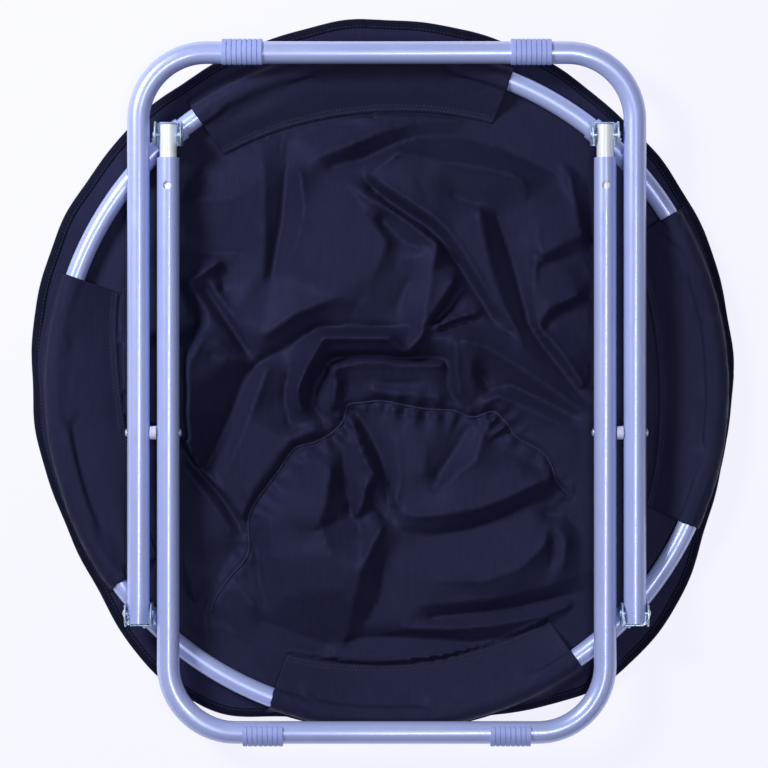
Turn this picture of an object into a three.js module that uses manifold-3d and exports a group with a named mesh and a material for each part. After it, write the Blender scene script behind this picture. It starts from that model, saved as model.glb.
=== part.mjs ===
// A folding moon chair, folded flat and lying on its face.
// A steel ring carries a round padded seat in four sewn sleeves. Two U-shaped legs lie over the ring.
// The wide outer leg is hinged at the front of the ring. The narrow inner leg slides on two chrome
// inserts, which are hinged at the back of the ring. The legs cross at a riveted pivot on each side.
// Millimetres, +Z up. The origin is on the floor under the ring's centre. +Y points to the seat's back.

import * as THREE from "three";
import { mergeVertices } from "three/addons/utils/BufferGeometryUtils.js";
import Module from "manifold-3d";

const wasm = await Module();
wasm.setup();

const rad = THREE.MathUtils.degToRad;
const deg = THREE.MathUtils.radToDeg;

// ---------------------------------------------------------------- driving dimensions

const GAP = 0.3; // clearance between pieces that touch
const CUT_GAP = 0.4; // clearance round the ring inside what is cut to fit over it
const DRILL = 20; // half length of a drill, more than any tube's radius
const DRILL_START = 5; // height above a tube's axis where a drill through its upper wall starts

const PAD = 10.5; // thickness of the padded seat under the ring
const RING_RADIUS = 370; // centre line of the seat ring
const RING_TUBE = 11; // outer radius of the ring's tube
const RING_BORE = 9.8;
const RING_LIFT = 0.5; // ring above the pad
const RING_Z = PAD + RING_LIFT + RING_TUBE;
const RING_JOINTS = { back_right: 3.5, back_left: 96.5, front_left: 188.5, front_right: 277 }; // arc starts
const ARC_STEPS = 12;
const PLUG = { radius: 9.5, bore: 8.3, length: 35, root: 0.8 }; // swaged end of each ring arc
// Fills the arc round its plug's root. from and to are shares of the arc's last step.
const COLLAR = { inset: 0.6, from: 0.75, to: 0.96 };

const LEG_TUBE = 12.5; // outer radius of both legs' tubes
const LEG_BORE = 11.3;
const BEND = 75; // centre-line radius of the legs' corners

const SHEET = 1.5; // sheet thickness of the hinge brackets
const SADDLE = { thickness: 2, length: 34, spread: 82, weld: 0.2 }; // over the ring, spread degrees each way
const PIN_HEIGHT = 18; // hinge pin above the bracket's floor, so that a leg's end can turn
const BRACKET_FLOOR = RING_Z + RING_TUBE + GAP + SADDLE.thickness + SADDLE.weld;
const EAR = { inside: 13.5, inner: 11, outer: 15, top: 11 }; // measured from the hinge pin
const STOP = { half: 10.5, height: 9.8 }; // end wall, which stops the opened leg
const LEG_Z = BRACKET_FLOOR + PIN_HEIGHT;

const OUTER_HALF = 275; // half the spacing of the outer leg's tubes
const OUTER_PIN_Y = -250;
const OUTER_REACH = 621; // hinge pin to foot bar
const OUTER_TAIL = 10.9; // tube past the hinge pin
const PINCH = { share: 0.84, length: 28 }; // the pressed end's width, as a share of the tube's

const INNER_HALF = 242;
const INNER_PIN_Y = 280;
const INNER_REACH = 662; // hinge pin to foot bar, folded
const MOUTH = 25.5; // hinge pin to the inner tube's mouth, folded
const LOCK_HOLE = { reach: 56.5, radius: 4.8 }; // from the hinge pin, folded

const PIVOT_Y = -50; // riveted crossing of the legs
const OPEN_ANGLE = rad(70); // the outer leg's travel

const INSERT = { radius: 9.5, bore: 8.3, tail: 11, length: 275 }; // chrome tubes in the inner leg
const INSERT_CAP = { radius: 10.2, flange: 1.8, plug: 5, overlap: 1 };
const INSERT_GUIDE = { bore: 5, length: 10, plug: 12, overlap: 1 }; // rides in the inner leg's tube
const MOUTH_BUSH = { length: 23, inset: 0.5 }; // guides the insert in the inner tube's mouth
const BUTTON = { radius: 3.9, hole: 4.3, top: 10.6, flange: 5.5, flangeTop: 5.4, flangeBottom: 4.4 };
const CROWN = { share: 0.6, edge: 1.5, rim: 0.3 }; // the button's rounded top, edge and rim below its top
const CLIP = { thickness: 0.6, width: 5, length: 30, low: -7, turn: 2.2 }; // the button's leaf spring
const CLIP_SEAT = { tail: -4, front: 3, drop: 0.7 }; // where its upper leaf lies under the button

const PIN = 2.5; // radius of every rivet's shank
const PIN_HOLE = PIN + GAP;
const HEAD = { radius: 4.5, height: 2.2 };
const HEAD_CURVE = [[0.92, 0.4], [0.6, 0.85]]; // shares of the head's radius and height
const SPACER_RADIUS = 7.5;
const SPACER_GAP = 0.36;

const FOOT = { length: 44.5, thickness: 2.6, half: 112.5 }; // clip, reaching half degrees each way
const OUTER_FOOT = { x: 160, lean: 56.25 }; // degrees that the clip's middle leans up from outward
const INNER_FOOT = { x: 137, lean: 11.25 };

const SEAT_CENTRE = [-6, 17]; // the cover sits off centre on its ring
const RIM = 395; // the cover's radius
const RIM_SWELLS = [
  // where the slack cover spreads further: bearing, extra reach, and how it fades to each side, in degrees
  { bearing: 241, reach: 34, before: 20, after: 12 },
  { bearing: 309, reach: 38, before: 19, after: 24 },
];
const BINDING = 2.5; // width of the edge tape
const BINDING_INSET = 0.2; // the tape's edges, inside the pad's faces
const LINING = { radius: 317, thickness: 4 }; // the bowl's lining, inside the sleeves' seams
const BASE = { centre: [14, -162], half: [214, 142], top: 17 }; // base panel of the collapsed bowl
const SLEEVE_SPANS = { back: [68, 125], left: [160.5, 216.5], front: [249.5, 305], right: [-24.5, 31.5] };
const SLEEVE_SEAM = 49; // ring centre line to the sleeve's inner seam
const SLEEVE_HUG = { from: -50, to: 117, slack: 0.8 }; // degrees of the ring that a sleeve follows
const CLOTH = 1.3;

const LEG_SIDES = 16;
const RING_SIDES = 12;
const SMALL_SIDES = 12;
const SEAT_SIDES = 48;
const RIM_SIDES = 72;
const BEND_STEPS = 6;

// The two hinges and the pivot make a triangle, which fixes how far the inner leg slides.
const HINGE_SPAN = INNER_PIN_Y - OUTER_PIN_Y;
const OUTER_SIDE = PIVOT_Y - OUTER_PIN_Y;
const INNER_SIDE = INNER_PIN_Y - PIVOT_Y;
const OPEN_SIDE = Math.hypot(
  HINGE_SPAN - OUTER_SIDE * Math.cos(OPEN_ANGLE),
  OUTER_SIDE * Math.sin(OPEN_ANGLE),
);
const TRAVEL = OPEN_SIDE - INNER_SIDE;
const BUTTON_Y = INNER_PIN_Y - LOCK_HOLE.reach - TRAVEL; // meets the lock hole when the leg is open

// ---------------------------------------------------------------- materials

function material(color, roughness, metalness) {
  return new THREE.MeshStandardMaterial({ color, roughness, metalness });
}
const TUBE_PAINT = material(0x9aa3d8, 0.32, 0.6);
const CHROME = material(0xd6dcf2, 0.15, 1.0);
const ZINC = material(0xbccbea, 0.3, 0.9);
const SPRING_STEEL = material(0x8b90a0, 0.35, 0.9);
const FOOT_PLASTIC = material(0x98a2da, 0.55, 0.0);
const NYLON = material(0xd9dcec, 0.5, 0.0);
const SEAT_CLOTH = material(0x1c1d33, 0.75, 0.0);

// ---------------------------------------------------------------- solids

function toSolid(geometry) {
  const bare = new THREE.BufferGeometry();
  const source = geometry.index ? geometry.toNonIndexed() : geometry;
  bare.setAttribute("position", source.attributes.position);
  const merged = mergeVertices(bare, 1e-3);
  const corners = [];
  for (let i = 0; i < merged.index.count; i += 3) {
    const [a, b, c] = [0, 1, 2].map((k) => merged.index.getX(i + k));
    if (a !== b && b !== c && c !== a) corners.push(a, b, c);
  }
  return new wasm.Manifold(
    new wasm.Mesh({
      numProp: 3,
      vertProperties: merged.attributes.position.array,
      triVerts: new Uint32Array(corners),
    }),
  );
}

function toGeometry(solid) {
  const mesh = solid.getMesh();
  const geometry = new THREE.BufferGeometry();
  geometry.setAttribute("position", new THREE.BufferAttribute(mesh.vertProperties, 3));
  geometry.setIndex(new THREE.BufferAttribute(mesh.triVerts, 1));
  geometry.computeVertexNormals();
  return geometry;
}

function join(...geometries) {
  return toGeometry(geometries.map(toSolid).reduce((a, b) => a.add(b)));
}

function cut(geometry, ...tools) {
  return toGeometry(tools.map(toSolid).reduce((a, b) => a.subtract(b), toSolid(geometry)));
}

// ---------------------------------------------------------------- sections and paths

// Points round a circle. Its flat sides face straight up and sideways.
function circlePoints(radius, sides) {
  return Array.from({ length: sides }, (_, i) => {
    const a = ((2 * i + 1) * Math.PI) / sides;
    return new THREE.Vector2(radius * Math.cos(a), radius * Math.sin(a));
  });
}

function pipeShape(radius, bore, sides) {
  const shape = new THREE.Shape(circlePoints(radius, sides));
  if (bore) shape.holes.push(new THREE.Path(circlePoints(bore, sides)));
  return shape;
}

// A path through chosen stations, so that a straight stretch takes a single step.
class StationPath extends THREE.Curve {
  constructor(stations) {
    super();
    this.stations = stations;
  }
  station(share) {
    return this.stations[Math.round(share * (this.stations.length - 1))];
  }
  getPointAt(share) {
    return this.station(share).point.clone();
  }
  getTangentAt(share) {
    return this.station(share).heading.clone();
  }
}

function sweep(shape, stations) {
  return new THREE.ExtrudeGeometry(shape, {
    steps: stations.length - 1,
    extrudePath: new StationPath(stations),
    bevelEnabled: false,
  });
}

function between(a, b, share) {
  return {
    point: a.point.clone().lerp(b.point, share),
    heading: a.heading.clone().lerp(b.heading, share).normalize(),
  };
}

// Stations round the seat ring, from one bearing to another, in degrees.
function ringStations(from, to, steps) {
  return Array.from({ length: steps + 1 }, (_, i) => {
    const a = rad(from + ((to - from) * i) / steps);
    return {
      point: new THREE.Vector3(RING_RADIUS * Math.cos(a), RING_RADIUS * Math.sin(a), RING_Z),
      heading: new THREE.Vector3(-Math.sin(a), Math.cos(a), 0),
    };
  });
}

// A section to sweep round the ring, from points [outward, up] measured from the ring's centre line.
function ringSection(points) {
  return new THREE.Shape(points.map(([outward, up]) => new THREE.Vector2(-up, -outward)));
}

function arcPoints(radius, from, to, steps) {
  return Array.from({ length: steps + 1 }, (_, i) => {
    const a = rad(from + ((to - from) * i) / steps);
    return [radius * Math.cos(a), radius * Math.sin(a)];
  });
}

// Stations along a U, from the left tube's end, round the foot bar, to the right tube's end.
// side is +1 where the foot bar lies towards +Y of the ends, and -1 where it lies towards -Y.
function legStations(half, endY, barY, side) {
  const corner = barY - side * BEND;
  const station = (x, y, headX, headY) => ({
    point: new THREE.Vector3(x, y, LEG_Z),
    heading: new THREE.Vector3(headX, headY, 0),
  });
  const bend = (centreX, startTurn) =>
    Array.from({ length: BEND_STEPS + 1 }, (_, i) => {
      const a = startTurn - ((Math.PI / 2) * i) / BEND_STEPS;
      const [c, s] = [Math.cos(a), Math.sin(a)];
      return station(centreX + BEND * c, corner + side * BEND * s, s, -side * c);
    });
  return [
    station(-half, endY, 0, side),
    station(-half, endY + side * PINCH.length, 0, side),
    ...bend(-half + BEND, Math.PI),
    ...bend(half - BEND, Math.PI / 2),
    station(half, endY + side * PINCH.length, 0, -side),
    station(half, endY, 0, -side),
  ];
}

// ---------------------------------------------------------------- simple shapes

function box(x0, x1, y0, y1, z0, z1) {
  const centre = [(x0 + x1) / 2, (y0 + y1) / 2, (z0 + z1) / 2];
  return new THREE.BoxGeometry(x1 - x0, y1 - y0, z1 - z0).translate(...centre);
}

// A shape drawn in the YZ plane and drawn out along X from x0 to x1.
function drawnX(shape, x0, x1, curveSegments = 6) {
  return new THREE.ExtrudeGeometry(shape, { depth: x1 - x0, bevelEnabled: false, curveSegments })
    .rotateX(Math.PI / 2)
    .rotateZ(Math.PI / 2)
    .translate(x0, 0, 0);
}

// A shape drawn in the XY plane and drawn up from z0 to z1.
function drawnZ(shape, z0, z1) {
  return new THREE.ExtrudeGeometry(shape, { depth: z1 - z0, bevelEnabled: false }).translate(0, 0, z0);
}

// A pipe along Y with the same sides as the legs' tubes.
function pipeY(radius, bore, y0, y1) {
  const shape = pipeShape(radius, bore, LEG_SIDES);
  return new THREE.ExtrudeGeometry(shape, { depth: y1 - y0, bevelEnabled: false })
    .rotateX(-Math.PI / 2)
    .translate(0, y0, 0);
}

// A solid turned about X, from a profile of points [radius, x] whose x runs upward.
function turnedX(profile) {
  const points = profile.map(([radius, x]) => new THREE.Vector2(radius, x));
  return new THREE.LatheGeometry(points, SMALL_SIDES).rotateZ(-Math.PI / 2);
}

function turnedZ(profile) {
  const points = profile.map(([radius, z]) => new THREE.Vector2(radius, z));
  return new THREE.LatheGeometry(points, LEG_SIDES).rotateX(Math.PI / 2);
}

function drillX(radius, x0, x1) {
  return turnedX([[0, x0], [radius, x0], [radius, x1], [0, x1]]);
}

function drillUp(radius) {
  return turnedZ([[0, DRILL_START], [radius, DRILL_START], [radius, DRILL], [0, DRILL]]);
}

// One end of a rivet's profile: the shank's edge at x1, and a domed head past it.
function rivetEnd(x1) {
  return [
    [PIN, x1],
    [HEAD.radius, x1],
    ...HEAD_CURVE.map(([across, up]) => [HEAD.radius * across, x1 + HEAD.height * up]),
    [0, x1 + HEAD.height],
  ];
}

function mirrored(profile) {
  return profile.map(([radius, x]) => [radius, -x]).reverse();
}

// ---------------------------------------------------------------- assembly

const chair = new THREE.Group();

function place(name, geometry, look, x = 0, y = 0, z = 0) {
  const mesh = new THREE.Mesh(geometry, look);
  mesh.name = name;
  mesh.position.set(x, y, z);
  chair.add(mesh);
  return mesh;
}

const SIDES = [["left", -1], ["right", 1]];

// ---- seat ring: four arcs, each plugged into the next inside a sleeve

const arcNames = Object.keys(RING_JOINTS);
const arcPaths = arcNames.map((name, i) => {
  const next = i + 1 < arcNames.length ? RING_JOINTS[arcNames[i + 1]] : RING_JOINTS[arcNames[0]] + 360;
  return ringStations(RING_JOINTS[name], next, ARC_STEPS);
});

function ringArc(path, nextPath) {
  const [before, end] = path.slice(-2);
  const [start, after] = nextPath;
  const stepLength = before.point.distanceTo(end.point);
  const plugShare = PLUG.length / start.point.distanceTo(after.point);
  const body = sweep(pipeShape(RING_TUBE, RING_BORE, RING_SIDES), [
    ...path.slice(0, -1),
    between(before, end, 1 - GAP / stepLength),
  ]);
  const collar = sweep(pipeShape(RING_TUBE - COLLAR.inset, PLUG.bore, RING_SIDES), [
    between(before, end, COLLAR.from),
    between(before, end, COLLAR.to),
  ]);
  const plug = sweep(pipeShape(PLUG.radius, PLUG.bore, RING_SIDES), [
    between(before, end, PLUG.root),
    start,
    between(start, after, plugShare),
  ]);
  return join(body, collar, plug);
}

arcNames.forEach((name, i) => {
  place(`ring_arc_${name}`, ringArc(arcPaths[i], arcPaths[(i + 1) % arcPaths.length]), TUBE_PAINT);
});

const ringClearance = arcPaths.map((path) => sweep(pipeShape(RING_TUBE + CUT_GAP, 0, RING_SIDES), path));

// ---- hinge brackets: a folded sheet channel on a saddle, which is welded over the ring

// One ear, drawn round the hinge pin. The end wall is on the +Y side.
function earShape() {
  const foot = -PIN_HEIGHT - SHEET;
  const shape = new THREE.Shape();
  shape.moveTo(-EAR.inner, foot);
  shape.lineTo(EAR.outer, foot);
  shape.absarc(EAR.outer - EAR.top, 0, EAR.top, 0, Math.PI / 2, false);
  shape.absarc(0, 0, EAR.top, Math.PI / 2, Math.PI, false);
  return shape;
}

// The channel round a pin that lies along X at the origin.
function channel() {
  const floor = -PIN_HEIGHT;
  const width = EAR.inside + SHEET;
  const sheet = join(
    drawnX(earShape(), -width, -EAR.inside),
    drawnX(earShape(), EAR.inside, width),
    box(-width, width, -EAR.inner, EAR.outer, floor - SHEET, floor),
    box(-STOP.half, STOP.half, EAR.outer - SHEET, EAR.outer, floor - SHEET, floor + STOP.height),
  );
  return cut(sheet, drillX(PIN_HOLE, -DRILL, DRILL));
}

function bracket(x, y) {
  const bearing = deg(Math.atan2(y, x));
  const reach = deg(SADDLE.length / 2 / RING_RADIUS);
  const inner = RING_TUBE + GAP;
  const up = 90;
  const section = ringSection([
    ...arcPoints(inner + SADDLE.thickness, up - SADDLE.spread, up + SADDLE.spread, 7),
    ...arcPoints(inner, up + SADDLE.spread, up - SADDLE.spread, 7),
  ]);
  const saddle = sweep(section, ringStations(bearing - reach, bearing + reach, 2));
  const turned = y < 0 ? Math.PI : 0; // the end wall faces away from the seat's middle
  const seat = channel().rotateZ(turned).translate(x, y, LEG_Z);
  return cut(join(seat, saddle), ...ringClearance).translate(-x, -y, -LEG_Z);
}

function hingeRivet() {
  const end = rivetEnd(EAR.inside + SHEET + GAP);
  return turnedX([...mirrored(end), ...end]);
}

for (const [side, sign] of SIDES) {
  for (const [end, half, y] of [["front", OUTER_HALF, OUTER_PIN_Y], ["back", INNER_HALF, INNER_PIN_Y]]) {
    const x = sign * half;
    place(`hinge_bracket_${end}_${side}`, bracket(x, y), ZINC, x, y, LEG_Z);
    place(`hinge_rivet_${end}_${side}`, hingeRivet(), ZINC, x, y, LEG_Z);
  }
}

// ---- legs

// Narrows a leg's tubes towards their ends, as a press does.
function pinched(geometry, half, endY) {
  const position = geometry.attributes.position;
  for (let i = 0; i < position.count; i++) {
    const depth = Math.abs(position.getY(i) - endY);
    if (depth >= PINCH.length) continue;
    const centre = Math.sign(position.getX(i)) * half;
    const share = PINCH.share + (1 - PINCH.share) * (depth / PINCH.length);
    position.setX(i, centre + (position.getX(i) - centre) * share);
  }
  return geometry;
}

function drillBoth(radius, half, y) {
  return SIDES.map(([, sign]) => drillX(radius, -DRILL, DRILL).translate(sign * half, y, LEG_Z));
}

function outerLegTube() {
  const end = OUTER_PIN_Y - OUTER_TAIL;
  const path = legStations(OUTER_HALF, end, OUTER_PIN_Y + OUTER_REACH, 1);
  const tube = pinched(sweep(pipeShape(LEG_TUBE, LEG_BORE, LEG_SIDES), path), OUTER_HALF, end);
  const pinHoles = [OUTER_PIN_Y, PIVOT_Y].flatMap((y) => drillBoth(PIN_HOLE, OUTER_HALF, y));
  return cut(tube, ...pinHoles);
}

function innerLegTube() {
  const path = legStations(INNER_HALF, INNER_PIN_Y - MOUTH, INNER_PIN_Y - INNER_REACH, -1);
  const tube = sweep(pipeShape(LEG_TUBE, LEG_BORE, LEG_SIDES), path);
  const lockHoles = SIDES.map(([, sign]) =>
    drillUp(LOCK_HOLE.radius).translate(sign * INNER_HALF, INNER_PIN_Y - LOCK_HOLE.reach, LEG_Z),
  );
  return cut(tube, ...drillBoth(PIN_HOLE, INNER_HALF, PIVOT_Y), ...lockHoles);
}

place("outer_leg_tube", outerLegTube(), TUBE_PAINT);
place("inner_leg_tube", innerLegTube(), TUBE_PAINT);

// ---- crossing pivots: the rivet is parted between the legs, so that each leg carries its own half

for (const [side, sign] of SIDES) {
  const innerFace = INNER_HALF + LEG_TUBE;
  const outerFace = OUTER_HALF + LEG_TUBE + GAP;
  const spacerStart = innerFace + SPACER_GAP;
  const spacerEnd = OUTER_HALF - LEG_TUBE - SPACER_GAP;
  const outerHalf = [[0, spacerStart], [PIN, spacerStart], ...rivetEnd(outerFace)];
  const innerHalf = [[0, -innerFace], [PIN, -innerFace], ...rivetEnd(-INNER_HALF + LEG_TUBE + GAP)];
  const spacer = cut(drillX(SPACER_RADIUS, spacerStart, spacerEnd), drillX(PIN_HOLE, 0, OUTER_HALF));
  const turn = sign > 0 ? 0 : Math.PI;
  for (const [name, geometry, look] of [
    [`pivot_rivet_outer_${side}`, turnedX(outerHalf), ZINC],
    [`pivot_rivet_inner_${side}`, turnedX(mirrored(innerHalf)), ZINC],
    [`pivot_spacer_${side}`, spacer, NYLON],
  ]) {
    place(name, geometry, look, 0, PIVOT_Y, LEG_Z).rotation.z = turn;
  }
}

// ---- inserts, which slide in the inner leg, and what they carry

function insertTube() {
  const tube = pipeY(INSERT.radius, INSERT.bore, -INSERT.length, INSERT.tail);
  const buttonHole = drillUp(BUTTON.hole).translate(0, BUTTON_Y - INNER_PIN_Y, 0);
  return cut(tube, drillX(PIN_HOLE, -DRILL, DRILL), buttonHole);
}

function insertCap() {
  const face = INSERT.tail + GAP;
  return join(
    pipeY(INSERT_CAP.radius, 0, face, face + INSERT_CAP.flange),
    pipeY(INSERT.bore - GAP, 0, face - INSERT_CAP.plug, face + INSERT_CAP.overlap),
  );
}

function insertGuide() {
  const face = -INSERT.length - GAP;
  return join(
    pipeY(LEG_BORE - GAP, INSERT_GUIDE.bore, face - INSERT_GUIDE.length, face),
    pipeY(INSERT.bore - GAP, INSERT_GUIDE.bore, face - INSERT_GUIDE.overlap, face + INSERT_GUIDE.plug),
  );
}

function mouthBush() {
  const mouth = -MOUTH - MOUTH_BUSH.inset;
  return pipeY(LEG_BORE - GAP, INSERT.radius + GAP, mouth - MOUTH_BUSH.length, mouth);
}

function snapButton() {
  return turnedZ([
    [0, BUTTON.flangeBottom],
    [BUTTON.flange, BUTTON.flangeBottom],
    [BUTTON.flange, BUTTON.flangeTop],
    [BUTTON.radius, BUTTON.flangeTop],
    [BUTTON.radius, BUTTON.top - CROWN.edge],
    [BUTTON.radius * CROWN.share, BUTTON.top - CROWN.rim],
    [0, BUTTON.top],
  ]);
}

// A leaf spring folded into a V. Its lower leaf lies in the insert and its upper leaf holds the button.
function clipSpring() {
  const turnZ = CLIP.low + CLIP.turn;
  const turnPoints = arcPoints(CLIP.turn, -90, 90, 6).map(([y, z]) => [CLIP.length + y, turnZ + z]);
  const seatZ = BUTTON.flangeBottom - CLIP_SEAT.drop;
  const line = [
    [CLIP_SEAT.tail, CLIP.low],
    ...turnPoints,
    [CLIP_SEAT.front, seatZ],
    [CLIP_SEAT.tail, seatZ],
  ];
  const side = (distance) =>
    line.map(([y, z], i) => {
      const [y0, z0] = line[Math.max(0, i - 1)];
      const [y1, z1] = line[Math.min(line.length - 1, i + 1)];
      const length = Math.hypot(y1 - y0, z1 - z0);
      return new THREE.Vector2(y - (distance * (z1 - z0)) / length, z + (distance * (y1 - y0)) / length);
    });
  const outline = new THREE.Shape([...side(CLIP.thickness / 2), ...side(-CLIP.thickness / 2).reverse()]);
  return drawnX(outline, -CLIP.width / 2, CLIP.width / 2);
}

for (const [side, sign] of SIDES) {
  const x = sign * INNER_HALF;
  place(`insert_tube_${side}`, insertTube(), CHROME, x, INNER_PIN_Y, LEG_Z);
  place(`insert_cap_${side}`, insertCap(), FOOT_PLASTIC, x, INNER_PIN_Y, LEG_Z);
  place(`insert_guide_${side}`, insertGuide(), NYLON, x, INNER_PIN_Y, LEG_Z);
  place(`mouth_bush_${side}`, mouthBush(), NYLON, x, INNER_PIN_Y, LEG_Z);
  place(`snap_button_${side}`, snapButton(), SPRING_STEEL, x, BUTTON_Y, LEG_Z);
  place(`button_spring_${side}`, clipSpring(), SPRING_STEEL, x, BUTTON_Y, LEG_Z);
}

// ---- foot pads: plastic clips on the legs' foot bars

// A clip whose middle points turn degrees from +Y towards +Z.
function footPad(turn) {
  const inner = LEG_TUBE + GAP;
  const steps = Math.round((2 * FOOT.half * LEG_SIDES) / 360);
  const outline = [
    ...arcPoints(inner + FOOT.thickness, turn - FOOT.half, turn + FOOT.half, steps),
    ...arcPoints(inner, turn + FOOT.half, turn - FOOT.half, steps),
  ];
  const shape = new THREE.Shape(outline.map(([y, z]) => new THREE.Vector2(y, z)));
  return drawnX(shape, -FOOT.length / 2, FOOT.length / 2);
}

for (const [side, sign] of SIDES) {
  const outerPad = footPad(OUTER_FOOT.lean);
  const innerPad = footPad(180 - INNER_FOOT.lean);
  const [outerY, innerY] = [OUTER_PIN_Y + OUTER_REACH, INNER_PIN_Y - INNER_REACH];
  place(`foot_pad_outer_${side}`, outerPad, FOOT_PLASTIC, sign * OUTER_FOOT.x, outerY, LEG_Z);
  place(`foot_pad_inner_${side}`, innerPad, FOOT_PLASTIC, sign * INNER_FOOT.x, innerY, LEG_Z);
}

// ---- seat cover: a padded disc with its edge tape, and the slack bowl lying on it

// The cover's outline, drawn in by inset.
function rimPoints(inset) {
  return Array.from({ length: RIM_SIDES }, (_, i) => {
    const bearing = (360 * i) / RIM_SIDES;
    let radius = RIM - inset;
    for (const swell of RIM_SWELLS) {
      const turn = bearing - swell.bearing;
      radius += swell.reach * Math.exp(-((turn / (turn < 0 ? swell.before : swell.after)) ** 2));
    }
    return new THREE.Vector2(radius * Math.cos(rad(bearing)), radius * Math.sin(rad(bearing)));
  });
}

// The base panel's outline, grown by grow.
function basePoints(grow) {
  const [[x, y], [halfX, halfY]] = [BASE.centre, BASE.half];
  return circlePoints(1, SEAT_SIDES / 2).map(
    (p) => new THREE.Vector2(x + p.x * (halfX + grow), y + p.y * (halfY + grow)),
  );
}

const padShape = new THREE.Shape(rimPoints(BINDING + GAP));
place("seat_pad", drawnZ(padShape, 0, PAD), SEAT_CLOTH, ...SEAT_CENTRE);

const tapeShape = new THREE.Shape(rimPoints(0));
tapeShape.holes.push(new THREE.Path(rimPoints(BINDING)));
place("rim_binding", drawnZ(tapeShape, BINDING_INSET, PAD - BINDING_INSET), SEAT_CLOTH, ...SEAT_CENTRE);

const liningBottom = PAD + GAP;
const liningShape = new THREE.Shape(circlePoints(LINING.radius, SEAT_SIDES));
liningShape.holes.push(new THREE.Path(basePoints(2 * GAP)));
place("bowl_lining", drawnZ(liningShape, liningBottom, liningBottom + LINING.thickness), SEAT_CLOTH);
place("bowl_base", drawnZ(new THREE.Shape(basePoints(0)), liningBottom, BASE.top), SEAT_CLOTH);

// A sleeve hugs the ring from outside and over the top, then slopes down to its seam on the seat.
function sleeveSection() {
  const inner = RING_TUBE + GAP;
  const outer = inner + CLOTH + SLEEVE_HUG.slack;
  const seam = -RING_TUBE + GAP;
  return ringSection([
    ...arcPoints(outer, SLEEVE_HUG.from, SLEEVE_HUG.to, 6),
    [-SLEEVE_SEAM, seam + CLOTH],
    [-SLEEVE_SEAM, seam],
    ...arcPoints(inner, SLEEVE_HUG.to, SLEEVE_HUG.from, 6),
  ]);
}

for (const [name, [from, to]] of Object.entries(SLEEVE_SPANS)) {
  const cloth = sweep(sleeveSection(), ringStations(from, to, 7));
  place(`sleeve_${name}`, cut(cloth, ...ringClearance), SEAT_CLOTH);
}

export default chair;
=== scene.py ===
"""The looks of a folding moon chair, folded flat and lying on its face.

Metres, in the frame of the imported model: +Z up, +Y towards the seat's back. The frame's own solids give every
place and size. Cloth is laid by simulation, tubes and fittings are rebuilt with fine round surfaces.
"""

import math
import random

import bmesh
import bpy
import numpy as np
from mathutils import Matrix, Vector
from mathutils.bvhtree import BVHTree
from mathutils.geometry import delaunay_2d_cdt
from mathutils.kdtree import KDTree


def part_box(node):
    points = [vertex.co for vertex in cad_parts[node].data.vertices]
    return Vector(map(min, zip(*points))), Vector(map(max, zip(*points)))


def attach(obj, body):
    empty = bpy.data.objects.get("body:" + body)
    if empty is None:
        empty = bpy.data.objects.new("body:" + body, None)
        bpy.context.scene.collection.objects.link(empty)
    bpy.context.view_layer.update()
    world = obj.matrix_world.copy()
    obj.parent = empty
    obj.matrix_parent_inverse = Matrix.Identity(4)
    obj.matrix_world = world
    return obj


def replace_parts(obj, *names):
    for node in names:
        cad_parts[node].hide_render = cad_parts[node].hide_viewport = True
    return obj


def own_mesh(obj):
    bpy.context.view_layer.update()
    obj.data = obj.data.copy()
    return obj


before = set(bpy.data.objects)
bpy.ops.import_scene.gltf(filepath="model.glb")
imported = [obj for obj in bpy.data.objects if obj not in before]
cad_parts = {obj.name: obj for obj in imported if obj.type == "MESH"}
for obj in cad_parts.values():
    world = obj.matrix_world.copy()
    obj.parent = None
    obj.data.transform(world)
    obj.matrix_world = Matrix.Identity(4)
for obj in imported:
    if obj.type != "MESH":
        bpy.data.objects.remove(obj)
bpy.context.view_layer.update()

MM = 0.001
SIDES = (("left", -1), ("right", 1))

# ---------------------------------------------------------------- places and sizes, from the frame


def middle(node):
    low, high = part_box(node)
    return (low + high) / 2


def extent(node):
    low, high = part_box(node)
    return high - low


FACET = math.cos(math.pi / 16)  # a 16-sided tube's flats, as a share of its radius
LEG_TUBE = extent("outer_leg_tube").z / 2 / FACET
TUBE_WALL = 1.2 * MM
LEG_Z = middle("outer_leg_tube").z
LEG_BEND = 75 * MM
OUTER_HALF = extent("outer_leg_tube").x / 2 - LEG_TUBE * FACET
OUTER_BAR_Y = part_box("outer_leg_tube")[1].y - LEG_TUBE * FACET
OUTER_END_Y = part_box("outer_leg_tube")[0].y
INNER_HALF = extent("inner_leg_tube").x / 2 - LEG_TUBE * FACET
INNER_BAR_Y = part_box("inner_leg_tube")[0].y + LEG_TUBE * FACET
INNER_END_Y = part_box("inner_leg_tube")[1].y
BACK_PIN_Y = middle("hinge_rivet_back_left").y
PIVOT_Y = middle("pivot_spacer_left").y
LOCK_HOLE_Y = BACK_PIN_Y - 56.5 * MM  # the snap button's hole near the inner leg's mouth
LOCK_HOLE = 4.8 * MM
BUTTON_HOLE = 4.3 * MM  # in the insert
RIVET_SHANK, RIVET_HEAD, RIVET_DOME = 2.5 * MM, 4.5 * MM, 2.2 * MM

RING_Z = middle("ring_arc_back_left").z
RING_TUBE = 11 * MM
RING_RADIUS = 370 * MM
PAD_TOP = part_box("seat_pad")[1].z
RIM_RADIUS = extent("rim_binding").x / 2
RIM_CENTRE = Vector((middle("rim_binding").x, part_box("rim_binding")[1].y - RIM_RADIUS))
SEAM_RADIUS = RING_RADIUS - 49 * MM  # where the slack bowl is sewn to the seat
SHARP = 35  # degrees; edges sharper than this stay crisp

# ---------------------------------------------------------------- materials


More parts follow.
